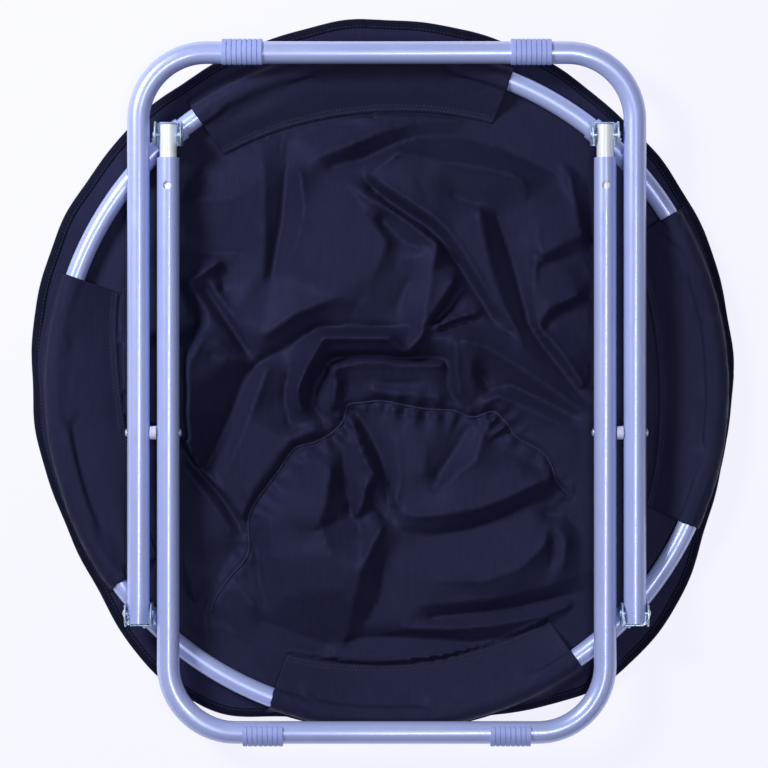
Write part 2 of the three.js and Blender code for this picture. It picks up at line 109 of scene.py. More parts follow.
class Nodes:
    """A short way to write a material's node tree."""

    def __init__(self, name):
        self.material = bpy.data.materials.new(name)
        self.material.use_nodes = True
        self.tree = self.material.node_tree
        self.shader = self.tree.nodes["Principled BSDF"]

    def set(self, **values):
        for name, value in values.items():
            self.shader.inputs[name.replace("_", " ")].default_value = value

    def add(self, kind, links=None, **values):
        node = self.tree.nodes.new("ShaderNode" + kind)
        for key, value in values.items():
            setattr(node, key, value)
        for socket, value in (links or {}).items():
            if isinstance(value, bpy.types.NodeSocket):
                self.tree.links.new(value, node.inputs[socket])
            else:
                node.inputs[socket].default_value = value
        return node

    def place(self):
        return self.add("TexCoord").outputs["Object"]

    def noise(self, scale, detail=3.0, vector=None, roughness=0.5):
        links = {"Vector": vector or self.place(), "Scale": scale, "Detail": detail, "Roughness": roughness}
        return self.add("TexNoise", links).outputs["Fac"]

    def stretched(self, x, y):
        """Places on the object with lengths along X and Y scaled, which draws a noise out into lines."""
        return self.add("Mapping", {"Vector": self.place(), "Scale": (x, y, 1.0)}).outputs["Vector"]

    def ramp(self, fac, *stops):
        node = self.add("ValToRGB", {"Fac": fac})
        elements = node.color_ramp.elements
        while len(elements) < len(stops):
            elements.new(0.5)
        for element, (position, color) in zip(elements, stops):
            element.position = position
            element.color = (*color, 1) if hasattr(color, "__len__") else (color, color, color, 1)
        return node.outputs["Color"]

    def math(self, operation, a, b=0.0):
        return self.add("Math", {0: a, 1: b}, operation=operation).outputs[0]

    def bump(self, height, strength, distance):
        links = {"Height": height, "Strength": strength, "Distance": distance}
        self.wire("Normal", self.add("Bump", links).outputs["Normal"])

    def wire(self, socket, value):
        self.tree.links.new(value, self.shader.inputs[socket])

    def drift(self, socket, noise, low, high, between=(0.3, 0.7)):
        """Lets a socket drift from one value or colour to another as a noise rises between two levels."""
        self.wire(socket, self.ramp(noise, (between[0], low), (between[1], high)))


def finish(name, color, shades, roughness, levels, grain=None, **values):
    """A plain finish. color and roughness are noises, which take it between its shades and its levels.

    grain is a fine bump's scale, strength and distance.
    """
    n = Nodes(name)
    n.drift("Base Color", n.noise(*color), *shades)
    n.drift("Roughness", n.noise(*roughness), *levels)
    n.set(**values)
    if grain:
        scale, strength, distance = grain
        n.bump(n.noise(scale, 2.0), strength, distance)
    return n.material


def chrome_painted_reflection():
    """Chrome painted near-white with little metal, a painted reflection, and fine polishing lines along the
    tube.
    """
    n = Nodes("chrome_painted_reflection")
    # painted reflection: the near-white base colour stands in for the bright studio that chrome mirrors
    n.drift("Base Color", n.noise(30.0, 2.0), (0.9, 0.93, 1.0), (0.95, 0.97, 1.0))
    n.drift("Roughness", n.noise(700.0, 3.0, n.stretched(1.0, 0.03)), 0.3, 0.4)
    n.set(Metallic=0.08, Coat_Weight=1.0, Coat_Roughness=0.25)
    return n.material


CLOTH_SHADES = ((0.0128, 0.014, 0.0385), (0.0195, 0.0212, 0.0545))


def oxford_cloth(name, tint=1.0, threads=1500.0, shine=0.12):
    """A coated oxford weave: threads both ways, a slight sheen, and shade that varies from dye and wear."""
    n = Nodes(name)
    place = n.place()
    wave = {"Vector": place, "Scale": threads / 6.283, "Distortion": 0.4}
    warp, weft = (n.add("TexWave", wave, bands_direction=way).outputs["Fac"] for way in "XY")
    slub = n.noise(260.0, 2.0, n.stretched(1.0, 0.12))
    shade = n.math("ADD", n.math("MULTIPLY", n.noise(7.0, 5.0), 0.6), n.math("MULTIPLY", slub, 0.4))
    n.drift("Base Color", shade, *([c * tint for c in color] for color in CLOTH_SHADES))
    n.drift("Roughness", n.noise(35.0, 5.0), 0.5, 0.64, (0.25, 0.75))
    n.set(Sheen_Weight=0.02, Sheen_Roughness=0.5, Sheen_Tint=(0.35, 0.4, 1.0, 1))
    n.set(Specular_IOR_Level=shine, Specular_Tint=(0.5, 0.55, 1.0, 1))
    n.bump(n.math("ADD", n.math("MULTIPLY", warp, weft), n.math("MULTIPLY", slub, 0.5)), 0.25, 0.00025)
    return n.material


def pale_floor():
    """Pale acrylic, lit from below as a product table is, so that shadows on it stay light."""
    n = Nodes("pale_floor")
    n.drift("Base Color", n.noise(1.5, 2.0), (0.1, 0.1, 0.11), (0.105, 0.105, 0.115))
    n.set(Roughness=0.8, Specular_IOR_Level=0.1)
    n.set(Emission_Color=(0.904, 0.904, 1.0, 1), Emission_Strength=0.93)
    return n.material


PAINT = finish(
    "tube_paint", (9.0, 4.0), ((0.455, 0.525, 0.93), (0.505, 0.575, 0.98)), (60.0, 5.0),
    (0.3, 0.4, (0.3, 0.75)), grain=(900.0, 0.08, 0.0002), Metallic=0.2, Coat_Weight=0.5, Coat_Roughness=0.12,
)  # fmt: skip
ZINC = finish(
    "zinc_plate", (45.0, 3.0), ((0.45, 0.62, 0.86), (0.74, 0.83, 0.96)), (120.0, 3.0), (0.32, 0.42),
    grain=(400.0, 0.05, 0.0001), Metallic=0.55,
)  # fmt: skip
CHROME = chrome_painted_reflection()
SPRING = finish(
    "spring_steel", (200.0,), ((0.38, 0.4, 0.46), (0.5, 0.52, 0.58)), (500.0,), (0.28, 0.42), Metallic=1.0
)  # fmt: skip
FOOT = finish(
    "foot_plastic", (40.0, 4.0), ((0.35, 0.42, 0.82), (0.4, 0.47, 0.89)), (400.0, 4.0), (0.45, 0.6),
    grain=(2500.0, 0.15, 0.0001),
)  # fmt: skip
NYLON = finish(
    "white_nylon", (90.0,), ((0.6, 0.63, 0.8), (0.7, 0.73, 0.88)), (500.0,), (0.4, 0.55),
    Subsurface_Weight=0.1, Subsurface_Radius=(0.002, 0.002, 0.002),
)  # fmt: skip
THREAD = finish(
    "sewing_thread", (900.0,), ((0.02, 0.022, 0.048), (0.038, 0.041, 0.082)), (1200.0,), (0.4, 0.6)
)  # fmt: skip
CLOTH = oxford_cloth("seat_cloth")
FACE_CLOTH = oxford_cloth("face_cloth", 1.15)
BINDING = oxford_cloth("binding_tape", 0.5, 2600.0, 0.04)
# the piping's cloth is 1.7 times lighter: a painted highlight for the light its round top catches
PIPING_PAINTED_HIGHLIGHT = oxford_cloth("piping_tape_painted_highlight", 1.7, 2600.0)

# ---------------------------------------------------------------- mesh helpers


def piece(name, verts, faces, material, body, smooth=True):
    mesh = bpy.data.meshes.new(name)
    mesh.from_pydata([tuple(v) for v in verts], [], faces)
    mesh.validate()
    mesh.materials.append(material)
    work = bmesh.new()
    work.from_mesh(mesh)
    bmesh.ops.recalc_face_normals(work, faces=work.faces)
    work.to_mesh(mesh)
    work.free()
    mesh.polygons.foreach_set("use_smooth", [smooth] * len(mesh.polygons))
    obj = bpy.data.objects.new(name, mesh)
    bpy.context.scene.collection.objects.link(obj)
    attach(obj, body)
    return obj


def sharpen(obj, degrees=40):
    """Smooth shading, but with edges sharper than this angle kept crisp."""
    bpy.ops.object.select_all(action="DESELECT")
    obj.select_set(True)
    bpy.context.view_layer.objects.active = obj
    bpy.ops.object.shade_smooth_by_angle(angle=math.radians(degrees))
    return obj


def bevelled(obj, width):
    """Edges sharper than 40 degrees rounded off in two steps."""
    modifier = obj.modifiers.new("edges", "BEVEL")
    modifier.width = width
    modifier.segments = 2
    modifier.limit_method = "ANGLE"
    modifier.angle_limit = math.radians(40)
    modifier.harden_normals = False
    return obj


def applied(obj):
    """The object with its modifiers made part of its mesh."""
    graph = bpy.context.evaluated_depsgraph_get()
    mesh = bpy.data.meshes.new_from_object(obj.evaluated_get(graph), depsgraph=graph)
    obj.modifiers.clear()
    obj.data = mesh
    return obj


def grid_faces(rows, columns, wrap_rows=False, wrap_columns=False):
    """Faces between points that are listed row by row."""
    faces = []
    for i in range(rows if wrap_rows else rows - 1):
        for j in range(columns if wrap_columns else columns - 1):
            a, b = i % rows, (i + 1) % rows
            c, d = j % columns, (j + 1) % columns
            faces.append((a * columns + c, a * columns + d, b * columns + d, b * columns + c))
    return faces


def sweep(stations, section):
    """Points of a flat section [(sideways, up), ...] carried along stations [(point, heading, shape)]."""
    verts = []
    for point, heading, shape in stations:
        side = heading.cross(Vector((0, 0, 1))).normalized()
        for across, up in section:
            across, up = shape(across, up) if shape else (across, up)
            verts.append(point + side * across + Vector((0, 0, up)))
    return verts


def polar(radius, angle):
    return radius * math.cos(angle), radius * math.sin(angle)


def circle(radius, count):
    return [polar(radius, 2 * math.pi * i / count) for i in range(count)]


def pipe(name, stations, radius, material, body, count=40):
    """A hollow tube with open ends: an outer and an inner skin that meet round both mouths."""
    outer = sweep(stations, circle(radius, count))
    inner = sweep(stations, circle(radius - TUBE_WALL, count))
    rows = len(stations)
    faces = grid_faces(rows, count, wrap_columns=True)
    shift = len(outer)
    faces += [tuple(i + shift for i in reversed(f)) for f in faces]
    for row in (0, rows - 1):
        for j in range(count):
            a, b = row * count + j, row * count + (j + 1) % count
            faces.append((a, b, b + shift, a + shift))
    return sharpen(piece(name, outer + inner, faces, material, body))


def straight(a, b, steps):
    """Stations along a straight line."""
    heading = (b - a).normalized()
    return [(a.lerp(b, i / steps), heading, None) for i in range(steps + 1)]


def turned(name, profile, axis, origin, material, body):
    """A solid of revolution from a profile [(radius, along), ...] that starts and ends on its axis."""
    count = 32
    axis = Vector(axis).normalized()
    side = axis.orthogonal().normalized()
    other = axis.cross(side)
    verts, rows = [], []
    for radius, along in profile:
        ring = []
        for i in range(count if radius > 1e-9 else 1):
            a = 2 * math.pi * i / count
            verts.append(origin + axis * along + (side * math.cos(a) + other * math.sin(a)) * radius)
            ring.append(len(verts) - 1)
        rows.append(ring)
    faces = []
    for low, high in zip(rows, rows[1:]):
        for i in range(count):
            j = i + 1
            quad = [low[i % len(low)], low[j % len(low)], high[j % len(high)], high[i % len(high)]]
            faces.append(tuple(dict.fromkeys(quad)))
    return sharpen(piece(name, verts, faces, material, body), SHARP)


# ---------------------------------------------------------------- tubes


def leg_stations(half, end_y, bar_y, pinch=None):
    """The U of a leg, from the left tube's end round the foot bar to the right tube's end."""
    side = 1 if bar_y > end_y else -1
    corner = bar_y - side * LEG_BEND
    start, end = Vector((-half, end_y, LEG_Z)), Vector((-half, corner, LEG_Z))
    length = abs(corner - end_y)
    steps = 40 if pinch else 6
    stations = []
    for i in range(steps):
        share = (i / steps) ** 1.5 if pinch else i / steps  # finer towards the end that is pinched
        shape = pinch(share * length) if pinch else None
        stations.append((start.lerp(end, share), Vector((0, side, 0)), shape))
    first = list(stations)
    bend_steps = 20
    for centre_x, from_angle in ((-half + LEG_BEND, math.pi), (half - LEG_BEND, math.pi / 2)):
        for i in range(bend_steps + 1):
            a = from_angle - math.pi / 2 * i / bend_steps
            spot = Vector((centre_x + LEG_BEND * math.cos(a), corner + side * LEG_BEND * math.sin(a), LEG_Z))
            stations.append((spot, Vector((math.sin(a), -side * math.cos(a), 0)), None))
    for point, heading, shape in reversed(first):
        stations.append((Vector((-point.x, point.y, point.z)), -heading, shape))
    return stations


def pinched(distance):
    """How a leg's end is pressed narrower over its last stretch, to fit inside its bracket."""
    reach, narrowest, taller = 26 * MM, 0.84, 0.1
    t = min(1.0, distance / reach)
    share = narrowest + (1 - narrowest) * t * t * (3 - 2 * t)
    return lambda across, up: (across * share, up * (1 + taller * (1 - share)))


def drill_up(obj, spots, radius):
    """Round holes from above through the upper wall of a tube."""
    for x, y in spots:
        place = (x, y, LEG_Z + 13 * MM)
        bpy.ops.mesh.primitive_cylinder_add(vertices=32, radius=radius, depth=20 * MM, location=place)
        drill = bpy.context.object
        modifier = obj.modifiers.new("hole", "BOOLEAN")
        modifier.operation = "DIFFERENCE"
        modifier.solver = "EXACT"
        modifier.object = drill
        applied(obj)
        bpy.data.objects.remove(drill)
    return sharpen(obj)


def ring_stations(start, end, steps):
    """Stations along the ring's circle, between two angles."""
    stations = []
    for i in range(steps + 1):
        a = start + (end - start) * i / steps
        spot = Vector((*polar(RING_RADIUS, a), RING_Z))
        stations.append((spot, Vector((-math.sin(a), math.cos(a), 0)), None))
    return stations


RING_ARCS = {
    "back_right": (3.5, 96.5),
    "back_left": (96.5, 188.5),
    "front_left": (188.5, 277),
    "front_right": (277, 363.5),
}  # each arc's start and end, in degrees
RING_GAP = 0.15 * MM  # at each end of an arc


def make_tubes():
    path = leg_stations(OUTER_HALF, OUTER_END_Y, OUTER_BAR_Y, pinched)
    outer = pipe("outer_leg_pipe", path, LEG_TUBE, PAINT, "outer_leg")
    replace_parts(outer, "outer_leg_tube")
    path = leg_stations(INNER_HALF, INNER_END_Y, INNER_BAR_Y)
    inner = pipe("inner_leg_pipe", path, LEG_TUBE, PAINT, "inner_leg")
    drill_up(inner, [(sign * INNER_HALF, LOCK_HOLE_Y) for _, sign in SIDES], LOCK_HOLE)
    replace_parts(inner, "inner_leg_tube")

    for name, (start, end) in RING_ARCS.items():
        gap = RING_GAP / RING_RADIUS
        stations = ring_stations(math.radians(start) + gap, math.radians(end) - gap, 60)
        arc = pipe(f"ring_pipe_{name}", stations, RING_TUBE, PAINT, "seat_frame", 32)
        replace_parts(arc, f"ring_arc_{name}")

    for side, sign in SIDES:
        low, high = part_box(f"insert_tube_{side}")
        ends = [Vector((sign * INNER_HALF, y, LEG_Z)) for y in (low.y, high.y)]
        radius = (high.z - low.z) / 2 / FACET
        insert = pipe(f"insert_pipe_{side}", straight(*ends, 24), radius, CHROME, "inserts")
        drill_up(insert, [(sign * INNER_HALF, middle(f"snap_button_{side}").y)], BUTTON_HOLE)
        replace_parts(insert, f"insert_tube_{side}")


# ---------------------------------------------------------------- hinge brackets and rivets


def dome(radius, height, steps=7):
    turns = [math.pi / 2 * i / steps for i in range(steps + 1)]
    return [(radius * math.cos(a), height * math.sin(a)) for a in turns]


def rivet_profile(x0, x1):
    """A rivet with a domed head at each end, from x0 to x1 along its axis."""
    up = [(r, x1 + h) for r, h in dome(RIVET_HEAD, RIVET_DOME)]
    down = [(r, x0 - h) for r, h in reversed(dome(RIVET_HEAD, RIVET_DOME))]
    up[-1], down[0] = (0.0, up[-1][1]), (0.0, down[0][1])
    return down + [(RIVET_SHANK, x0), (RIVET_SHANK, x1)] + up


def ear_outline(inner, outer, top, foot, steps=10):
    """One ear's outline in (y, z), measured from the hinge pin."""
    points = [(-inner, foot), (outer, foot)]
    for centre, start, end in (((outer - top), 0, 90), (0, 90, 180)):
        for i in range(steps + 1):
            a = math.radians(start + (end - start) * i / steps)
            points.append((centre + top * math.cos(a), top * math.sin(a)))
    return points


def plate(outline, x0, x1):
    """A flat sheet from an outline in (y, z), between two places on X: its points and faces."""
    verts = [Vector((x, y, z)) for x in (x0, x1) for y, z in outline]
    count = len(outline)
    faces = [tuple(reversed(range(count))), tuple(range(count, 2 * count))]
    faces += [(i, (i + 1) % count, count + (i + 1) % count, count + i) for i in range(count)]
    return verts, faces


BRACKET_SHEET, BRACKET_INSIDE = 1.5 * MM, 13.5 * MM  # its thickness, and half the space between the ears
EAR_BACK, EAR_FRONT, EAR_TOP = 11 * MM, 15 * MM, 11 * MM  # the ear's reach each way and up from its pin
PIN_TO_FLOOR = 18 * MM
WALL_HEIGHT = 9.8 * MM  # of the end wall that stops the leg
SADDLE_LIFT, SADDLE_LENGTH = 2.3 * MM, 34 * MM
BRACKET_BEVEL = 0.35 * MM


def make_bracket(end, side):
    """A channel of two ears, a floor and an end wall, and the painted strap that holds it on the ring."""
    node = f"hinge_bracket_{end}_{side}"
    pin = middle(f"hinge_rivet_{end}_{side}")
    turn = Matrix.Rotation(math.pi if end == "front" else 0.0, 4, "Z")
    inside, width = BRACKET_INSIDE, BRACKET_INSIDE + BRACKET_SHEET
    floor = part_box(node)[1].z - pin.z - EAR_TOP - PIN_TO_FLOOR
    foot = floor - BRACKET_SHEET
    ear = ear_outline(EAR_BACK, EAR_FRONT, EAR_TOP, foot)
    low, back, front = foot + 0.02 * MM, -10.6 * MM, 14.9 * MM
    floor_sheet = [(back, low), (front, low), (front, floor), (back, floor)]
    low, top = foot + 0.1 * MM, floor + WALL_HEIGHT
    wall = [(inside, low), (EAR_FRONT, low), (EAR_FRONT, top), (inside, top)]
    verts, faces = [], []
    for outline, x0, x1 in (
        (ear, -width, -inside),
        (ear, inside, width),
        (floor_sheet, -inside - 0.5 * MM, inside + 0.5 * MM),
        (wall, -10.5 * MM, 10.5 * MM),
    ):
        more_verts, more_faces = plate(outline, x0, x1)
        faces += [tuple(i + len(verts) for i in face) for face in more_faces]
        verts += more_verts
    verts = [turn @ v + pin for v in verts]

    rows, around, edge = 13, 25, math.radians(8)
    section = []
    for radius, start, stop in (
        (RING_TUBE + SADDLE_LIFT, edge, math.pi - edge),
        (RING_TUBE + 0.3 * MM, math.pi - edge, edge),
    ):
        section += [polar(radius, start + (stop - start) * i / (around - 1)) for i in range(around)]
    bearing, reach = math.atan2(pin.y, pin.x), SADDLE_LENGTH / 2 / RING_RADIUS
    saddle = sweep(ring_stations(bearing - reach, bearing + reach, rows - 1), section)
    saddle_faces = grid_faces(rows, len(section), wrap_columns=True)
    last = (rows - 1) * len(section)
    for i in range(around - 1):
        j = len(section) - 1 - i
        saddle_faces.append((i, i + 1, j - 1, j))
        saddle_faces.append((last + j, last + j - 1, last + i + 1, last + i))
    bracket = piece(f"bracket_{end}_{side}", verts, faces, ZINC, "seat_frame", smooth=False)
    name = f"bracket_strap_{end}_{side}"
    strap = piece(name, saddle, saddle_faces, PAINT, "seat_frame", smooth=False)
    for part in (bracket, strap):
        bevelled(part, BRACKET_BEVEL)
        sharpen(part, SHARP)
    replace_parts(bracket, node)


def make_rivets():
    for end in ("front", "back"):
        for side, _ in SIDES:
            make_bracket(end, side)
            low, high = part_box(f"hinge_rivet_{end}_{side}")
            reach = (high.x - low.x) / 2 - RIVET_DOME
            profile = rivet_profile(-reach, reach)
            name = f"hinge_pin_{end}_{side}"
            rivet = turned(name, profile, (1, 0, 0), (low + high) / 2, ZINC, "seat_frame")
            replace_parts(rivet, f"hinge_rivet_{end}_{side}")

    for side, sign in SIDES:
        for half, body in (("outer", "outer_leg"), ("inner", "inner_leg")):
            node = f"pivot_rivet_{half}_{side}"
            low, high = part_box(node)
            toward = sign if half == "outer" else -sign  # the way that the head faces
            length = high.x - low.x - RIVET_DOME
            profile = [(0.0, 0.0), (RIVET_SHANK, 0.0), (RIVET_SHANK, length)]
            profile += [(r, length + h) for r, h in dome(RIVET_HEAD, RIVET_DOME)]
            profile[-1] = (0.0, profile[-1][1])
            origin = Vector((low.x if toward > 0 else high.x, PIVOT_Y, LEG_Z))
            name = f"pivot_pin_{half}_{side}"
            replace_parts(turned(name, profile, (toward, 0, 0), origin, ZINC, body), node)
        make_spacer(side)
        make_plug(side, sign)


def make_spacer(side):
    """The nylon washer between the two legs on the crossing rivet."""
    low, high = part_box(f"pivot_spacer_{side}")
    length, edge = high.x - low.x, 0.5 * MM
    radius, bore = 7.5 * MM, 2.8 * MM
    rim = [(radius - edge, 0), (radius, edge), (radius, length - edge), (radius - edge, length)]
    origin = Vector((low.x, PIVOT_Y, LEG_Z))
    spacer = ring_solid(f"pivot_washer_{side}", [(bore, 0), *rim, (bore, length)], origin)
    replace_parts(spacer, f"pivot_spacer_{side}")


def make_plug(side, sign):
    """The plastic plug in an insert's hinged end: a neck inside the tube and a rounded cap outside it."""
    low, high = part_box(f"insert_cap_{side}")
    neck, neck_length, radius, edge = 7.8 * MM, 5 * MM, 10 * MM, 0.4 * MM
    length = high.y - low.y
    profile = [(0, 0), (neck, 0), (neck, neck_length), (radius - edge, neck_length)]
    profile += [(radius, neck_length + edge), (radius, 6 * MM), (radius - 2 * edge, length), (0, length)]
    origin = Vector((sign * INNER_HALF, low.y, LEG_Z))
    plug = turned(f"insert_plug_{side}", profile, (0, 1, 0), origin, FOOT, "inserts")
    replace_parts(plug, f"insert_cap_{side}")


def ring_solid(name, profile, origin):
    """A ring turned about X from a closed profile [(radius, along), ...]."""
    count = 40
    verts = []
    for radius, along in profile:
        verts += [origin + Vector((along, *spot)) for spot in circle(radius, count)]
    faces = grid_faces(len(profile), count, wrap_rows=True, wrap_columns=True)
    return sharpen(piece(name, verts, faces, NYLON, "outer_leg"), SHARP)


# ---------------------------------------------------------------- foot pads


FOOT_HALF_TURN = math.radians(112.5)
RIB_HEIGHT, RIB_PITCH, RIB_EDGE = 2.6 * MM, 5.6 * MM, 0.45 * MM
GROOVE, GROOVE_DEPTH, GROOVES = 1.1 * MM, 1.1 * MM, 7


def rib_outline(length):
    """The clip's outer face along its length, as (place, height): ribs with rounded edges."""
    outline = [(-length / 2, RIB_HEIGHT - RIB_EDGE), (-length / 2 + RIB_EDGE, RIB_HEIGHT)]
    side = [
        (GROOVE / 2 + RIB_EDGE / 2, RIB_HEIGHT),
        (GROOVE / 2, RIB_HEIGHT - RIB_EDGE / 2),
        (GROOVE / 2 - 0.1 * MM, RIB_HEIGHT - GROOVE_DEPTH),
    ]
    for k in range(GROOVES):
        x = (k - (GROOVES - 1) / 2) * RIB_PITCH
        outline += [(x - away, height) for away, height in side]
        outline += [(x + away, height) for away, height in reversed(side)]
    return [*outline, (length / 2 - RIB_EDGE, RIB_HEIGHT), (length / 2, RIB_HEIGHT - RIB_EDGE)]


def make_foot(name, node, lean, body):
    """A ribbed clip round a foot bar. lean is where the clip's middle points, from +Y towards +Z."""
    centre_x = middle(node).x
    bar_y = OUTER_BAR_Y if body == "outer_leg" else INNER_BAR_Y
    length = extent(node).x
    inner = LEG_TUBE + 0.2 * MM
    outline = rib_outline(length)
    rows = 49
    columns = len(outline) + 2
    verts = []
    for i in range(rows):
        turn = lean - FOOT_HALF_TURN + 2 * FOOT_HALF_TURN * i / (rows - 1)
        near_end = min(i, rows - 1 - i) / 3
        taper = 0.55 + 0.45 * min(1.0, near_end) ** 0.5
        direction = Vector((0, math.cos(turn), math.sin(turn)))
        base = Vector((centre_x, bar_y, LEG_Z))
        for x, height in outline:
            verts.append(base + Vector((x, 0, 0)) + direction * (inner + height * taper))
        for x in (length / 2, -length / 2):
            verts.append(base + Vector((x, 0, 0)) + direction * inner)
    faces = grid_faces(rows, columns, wrap_columns=True)
    faces.append(tuple(reversed(range(columns))))
    faces.append(tuple((rows - 1) * columns + j for j in range(columns)))
    foot = sharpen(piece(name, verts, faces, FOOT, body), SHARP)
    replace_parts(foot, node)


def make_feet():
    """The outer leg's clips lean up from the bar's far side, and the inner leg's a little the other way."""
    for side, _ in SIDES:
        for half, lean in (("outer", 56.25), ("inner", 180 - 11.25)):
            name, node = f"ribbed_foot_{half}_{side}", f"foot_pad_{half}_{side}"
            make_foot(name, node, math.radians(lean), f"{half}_leg")


# ---------------------------------------------------------------- kept solids


def paint_kept_nodes():
    """Looks for the small solids that stay as they are. Each leaf spring gets its own mesh; its flattening as
    the button goes in is not drawn.
    """
    looks = {"insert_guide": NYLON, "mouth_bush": NYLON, "snap_button": SPRING, "button_spring": SPRING}
    for name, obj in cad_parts.items():
        for start, material in looks.items():
            if name.startswith(start):
                obj.data.materials.clear()
                obj.data.materials.append(material)
    for side, _ in SIDES:
        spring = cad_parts[f"button_spring_{side}"]
        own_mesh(spring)


# ---------------------------------------------------------------- cloth helpers

CLOTHS = []  # pieces that are still to be simulated, with what to do to each afterwards
STRETCH_STIFFNESS = 15.0
SETTLING_FRAMES = 25
BOWL_HOLD = 0.4  # how firmly the slack cloth keeps its designed folds
FOLD_CRISPNESS = 2.1
FOLD_DEPTH = 1.6  # the folds' rise and fall about their middle height, over what is listed
FOLD_MIDDLE = 11  # millimetres


def disc_grid(count):
    """A square grid of points drawn out to a unit disc, row by row, with each one's distance and angle."""
    line = np.linspace(-1, 1, count)
    u, v = np.meshgrid(line, line)
    unit = np.stack([u * np.sqrt(1 - v * v / 2), v * np.sqrt(1 - u * u / 2)], axis=-1).reshape(-1, 2)
    return unit, np.hypot(unit[:, 0], unit[:, 1]), np.arctan2(unit[:, 1], unit[:, 0])


def vertices(mesh):
    """A mesh's points, as an array."""
    flat = np.empty(len(mesh.vertices) * 3)
    mesh.vertices.foreach_get("co", flat)
    return flat.reshape(-1, 3)


def move_vertices(mesh, places):
    mesh.vertices.foreach_set("co", np.asarray(places, dtype=float).ravel())
    mesh.update()


def as_cloth(obj, held, afterwards, bending=1.0, mass=0.02, shrink=0.0, pressure=0.0, gravity=1.0):
    """Makes a mesh cloth. held is each vertex's hold on its place, 0 to 1; afterwards tidies the result."""
    group = obj.vertex_groups.new(name="held")
    for index, weight in enumerate(held):
        if weight > 0:
            group.add([index], float(weight), "REPLACE")
    modifier = obj.modifiers.new("cloth", "CLOTH")
    settings = modifier.settings
    settings.vertex_group_mass = "held"
    settings.quality = 6
    settings.mass = mass
    settings.tension_stiffness = settings.compression_stiffness = STRETCH_STIFFNESS
    settings.shear_stiffness = STRETCH_STIFFNESS / 3
    settings.bending_stiffness = bending
    settings.shrink_min = shrink
    settings.effector_weights.gravity = gravity
    if pressure:
        settings.use_pressure = True
        settings.uniform_pressure_force = pressure
    modifier.collision_settings.distance_min = 0.6 * MM
    modifier.collision_settings.use_self_collision = False
    CLOTHS.append((obj, afterwards))


def collider(obj):
    obj.modifiers.new("collision", "COLLISION")
    obj.collision.thickness_outer = 0.5 * MM
    obj.collision.cloth_friction = 20
    return obj


def settle(frames, props):
    """Runs all the cloth together, keeps the result as plain meshes, and takes the props away."""
    scene = bpy.context.scene
    for obj, _ in CLOTHS:
        obj.modifiers["cloth"].point_cache.frame_end = frames
    for number in range(1, frames + 1):
        scene.frame_set(number)
    for obj, afterwards in CLOTHS:
        start = vertices(obj.data)
        applied(obj)
        move_vertices(obj.data, afterwards(start, vertices(obj.data)))
    scene.frame_set(1)
    for prop in props:
        bpy.data.objects.remove(prop)


def finer(obj, thickness=0.0):
    """Gives a simulated face smooth curves, and the thickness of its cloth, outward, if one is given."""
    modifier = obj.modifiers.new("finer", "SUBSURF")
    modifier.levels = modifier.render_levels = 1
    if thickness:
        modifier = obj.modifiers.new("thickness", "SOLIDIFY")
        modifier.thickness = thickness
        modifier.offset = 1.0
        modifier.use_even_offset = False
    applied(obj)
    obj.data.polygons.foreach_set("use_smooth", [True] * len(obj.data.polygons))


def wavy(angle, *waves):
    """A smooth wander round a circle: the sum of (height, turns, shift) waves."""
    return sum(height * np.sin(turns * angle + shift) for height, turns, shift in waves)


# ---------------------------------------------------------------- the seat cushion and its rim

RIM_WAVES = (  # height, turns, shift
    (1.6 * MM, 1, 0.0), (1.1 * MM, 5, 0.4), (0.8 * MM, 11, 2.0), (0.7 * MM, 19, 1.1), (0.5 * MM, 31, 0.2),
)  # fmt: skip
RIM_SWELLS = ((241, 34 * MM, 20, 12), (309, 38 * MM, 19, 24))  # bearing, reach, and fade to each side
RIM_XY = np.array(RIM_CENTRE)
BINDING_WIDTH = 11 * MM
PAD_HALF = 4.3 * MM  # the cushion's half thickness away from its seams
PAD_EDGE = 12 * MM  # how far in from its rim the cushion grows thicker
PAD_SEAMS = (SEAM_RADIUS, SEAM_RADIUS * 0.45)  # two rings sewn through it
PAD_SEAM_WIDTH, RIM_SEAM_WIDTH = 7 * MM, 4 * MM
SEAM_PINCH = 0.45


def rim_radius(angle):
    """How far the cover's edge lies from the rim's centre at an angle."""
    bearing = np.degrees(angle) % 360
    radius = RIM_RADIUS + wavy(angle, *RIM_WAVES)
    for place, reach, before, after in RIM_SWELLS:
        turn = bearing - place
        radius = radius + reach * np.exp(-((turn / np.where(turn < 0, before, after)) ** 2))
    return radius


